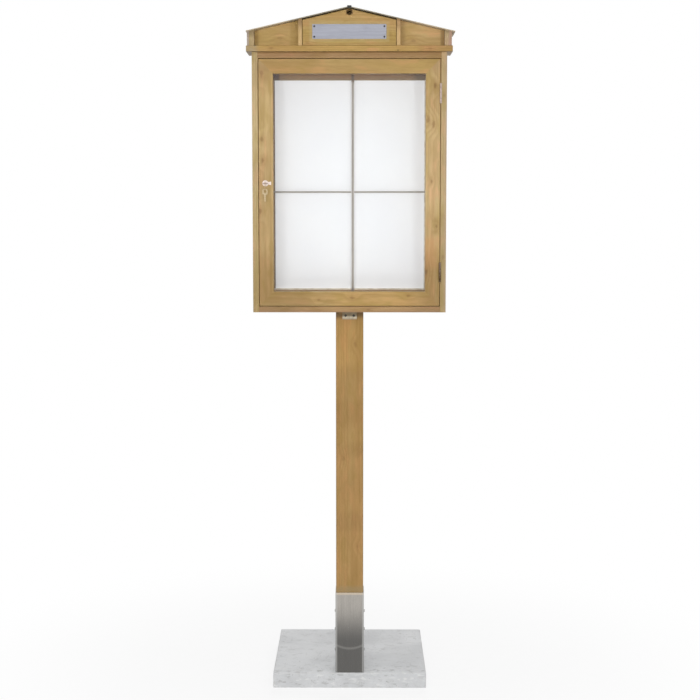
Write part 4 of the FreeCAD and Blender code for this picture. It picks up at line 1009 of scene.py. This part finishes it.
def ring_tree():
    """Geometry Nodes: a split ring, two turns of flattened wire side by side."""
    tree, given = new_tree("split_ring", ("Ring Radius", "Float"), ("Wire Width", "Float"),
                           ("Wire Thickness", "Float"))
    add = tree.nodes.new
    link = tree.links.new
    coil = add("GeometryNodeCurveSpiral")
    coil.inputs["Resolution"].default_value = STEPS_PER_TURN
    coil.inputs["Rotations"].default_value = RING_TURNS
    link(given.outputs["Ring Radius"], coil.inputs["Start Radius"])
    link(given.outputs["Ring Radius"], coil.inputs["End Radius"])
    link(given.outputs["Wire Width"], coil.inputs["Height"])
    section = add("GeometryNodeCurvePrimitiveCircle")
    section.inputs["Resolution"].default_value = WIRE_SIDES
    section.inputs["Radius"].default_value = 0.5
    flat = add("ShaderNodeCombineXYZ")
    link(given.outputs["Wire Thickness"], flat.inputs["X"])
    link(given.outputs["Wire Width"], flat.inputs["Y"])
    flat.inputs["Z"].default_value = 1.0
    pressed = add("GeometryNodeTransform")
    link(section.outputs["Curve"], pressed.inputs["Geometry"])
    link(flat.outputs[0], pressed.inputs["Scale"])
    wire = add("GeometryNodeCurveToMesh")
    wire.inputs["Fill Caps"].default_value = True
    link(coil.outputs["Curve"], wire.inputs["Curve"])
    link(pressed.outputs["Geometry"], wire.inputs["Profile Curve"])
    return close_tree(tree, given, wire.outputs["Mesh"])


def split_ring():
    """The ring is made lying flat, and then stood on edge in the key's hole."""
    inputs = {"Ring Radius": RING_RADIUS, "Wire Width": WIRE_WIDTH, "Wire Thickness": WIRE_THICKNESS,
              "Finish": key_nickel}
    piece = grown("split_ring", bpy.data.meshes.new("split_ring_start"), ring_tree(), inputs)
    for vertex in piece.data.vertices:
        x, y, z = vertex.co
        vertex.co = RING_CENTRE + Vector((z - WIRE_WIDTH / 2, x, y))
    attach(piece, "key_ring")
    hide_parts("key_ring")


split_ring()


# ---- stage, lamps and camera

FLOOR_HALF = 12.0
SOFT_LIGHT = 0.35


def stage_floor():
    """A pale floor. The camera sees the object's soft shadow on it, and plain white farther out."""
    shader = Shader("stage_floor")
    fine = shader.cloud(30.0, 2.0)
    shade = shader.wash((0.86, 0.86, 0.86), (0.83, 0.83, 0.83), fine, 0.3, 0.8)
    shader.surface(shade, 0.9)
    lit = shader.output.inputs["Surface"].links[0].from_socket
    share = shader.ramp(shader.vector("LENGTH", shader.place), 0.4, 1.6, 0.80, 1.0)
    glow = shader.add("Emission")
    shader.blend(shader.times(seen_straight(shader.tree), share), lit, glow.outputs[0])
    mesh = bpy.data.meshes.new("stage_floor")
    corners = [(x * FLOOR_HALF, y * FLOOR_HALF, 0) for x, y in ((-1, -1), (1, -1), (1, 1), (-1, 1))]
    mesh.from_pydata(corners, [], [(0, 1, 2, 3)])
    mesh.materials.append(shader.material)
    floor = placed("stage_floor", mesh)


def lamp(name, kind, place, target, power, width, height=None):
    """A lamp that stays out of gloss and glass. A sun has an angle for its width, and no height."""
    light = bpy.data.lights.new(name, kind)
    light.energy = power
    if kind == "AREA":
        light.shape = "RECTANGLE"
        light.size = width
        light.size_y = height
    else:
        light.angle = width
    holder = placed(name, light)
    holder.location = place
    holder.visible_glossy = False
    holder.visible_transmission = False
    holder.rotation_euler = (Vector(target) - Vector(place)).to_track_quat("-Z", "Y").to_euler()


def studio():
    """A white surround for the camera and for gloss, and softer light for the rest."""
    world = bpy.data.worlds.new("studio")
    bpy.context.scene.world = world
    world.use_nodes = True
    tree = world.node_tree
    tree.nodes.clear()
    link = tree.links.new
    white = tree.nodes.new("ShaderNodeBackground")
    soft = tree.nodes.new("ShaderNodeBackground")
    white.inputs["Color"].default_value = (1, 1, 1, 1)
    soft.inputs["Color"].default_value = (0.98, 0.99, 1.0, 1)
    soft.inputs["Strength"].default_value = SOFT_LIGHT
    blend = tree.nodes.new("ShaderNodeMixShader")
    link(seen_straight(tree), blend.inputs[0])
    link(soft.outputs[0], blend.inputs[1])
    link(white.outputs[0], blend.inputs[2])
    out = tree.nodes.new("ShaderNodeOutputWorld")
    link(blend.outputs[0], out.inputs["Surface"])
    lamp("front_lamp", "AREA", (-0.1, -5.6, 1.9), (0, -0.3, 1.4), 84, 1.0, 1.0)
    lamp("front_right_lamp", "AREA", (1.7, -5.4, 1.9), (0, -0.3, 1.4), 35, 1.2, 1.0)
    lamp("front_left_lamp", "AREA", (-1.7, -5.4, 1.9), (0, -0.3, 1.4), 34, 1.2, 1.0)
    lamp("right_lamp", "AREA", (4.2, -2.0, 2.0), (0, -0.3, 1.3), 20, 2.2, 2.6)
    lamp("left_lamp", "AREA", (-4.2, -1.6, 2.0), (0, -0.3, 1.3), 18, 2.2, 2.6)
    lamp("back_lamp", "AREA", (0.5, 4.4, 2.6), (0, 0, 1.2), 110, 2.6, 2.4)
    lamp("top_lamp", "SUN", (0, -0.35, 1.0), (0, 0, 0), 0.52, math.radians(55))


def camera():
    """The photograph's view: a long lens, a little above the middle and looking slightly down."""
    data = bpy.data.cameras.new("camera")
    data.sensor_width = 36.0
    data.lens = CAMERA_LENS
    data.clip_end = 100.0
    view = placed("camera", data)
    view.location = CAMERA_PLACE
    view.rotation_euler = (math.pi / 2 - CAMERA_PITCH, 0, -CAMERA_YAW)
    bpy.context.scene.camera = view


stage_floor()
studio()
camera()
bpy.context.scene.view_settings.view_transform = "Standard"
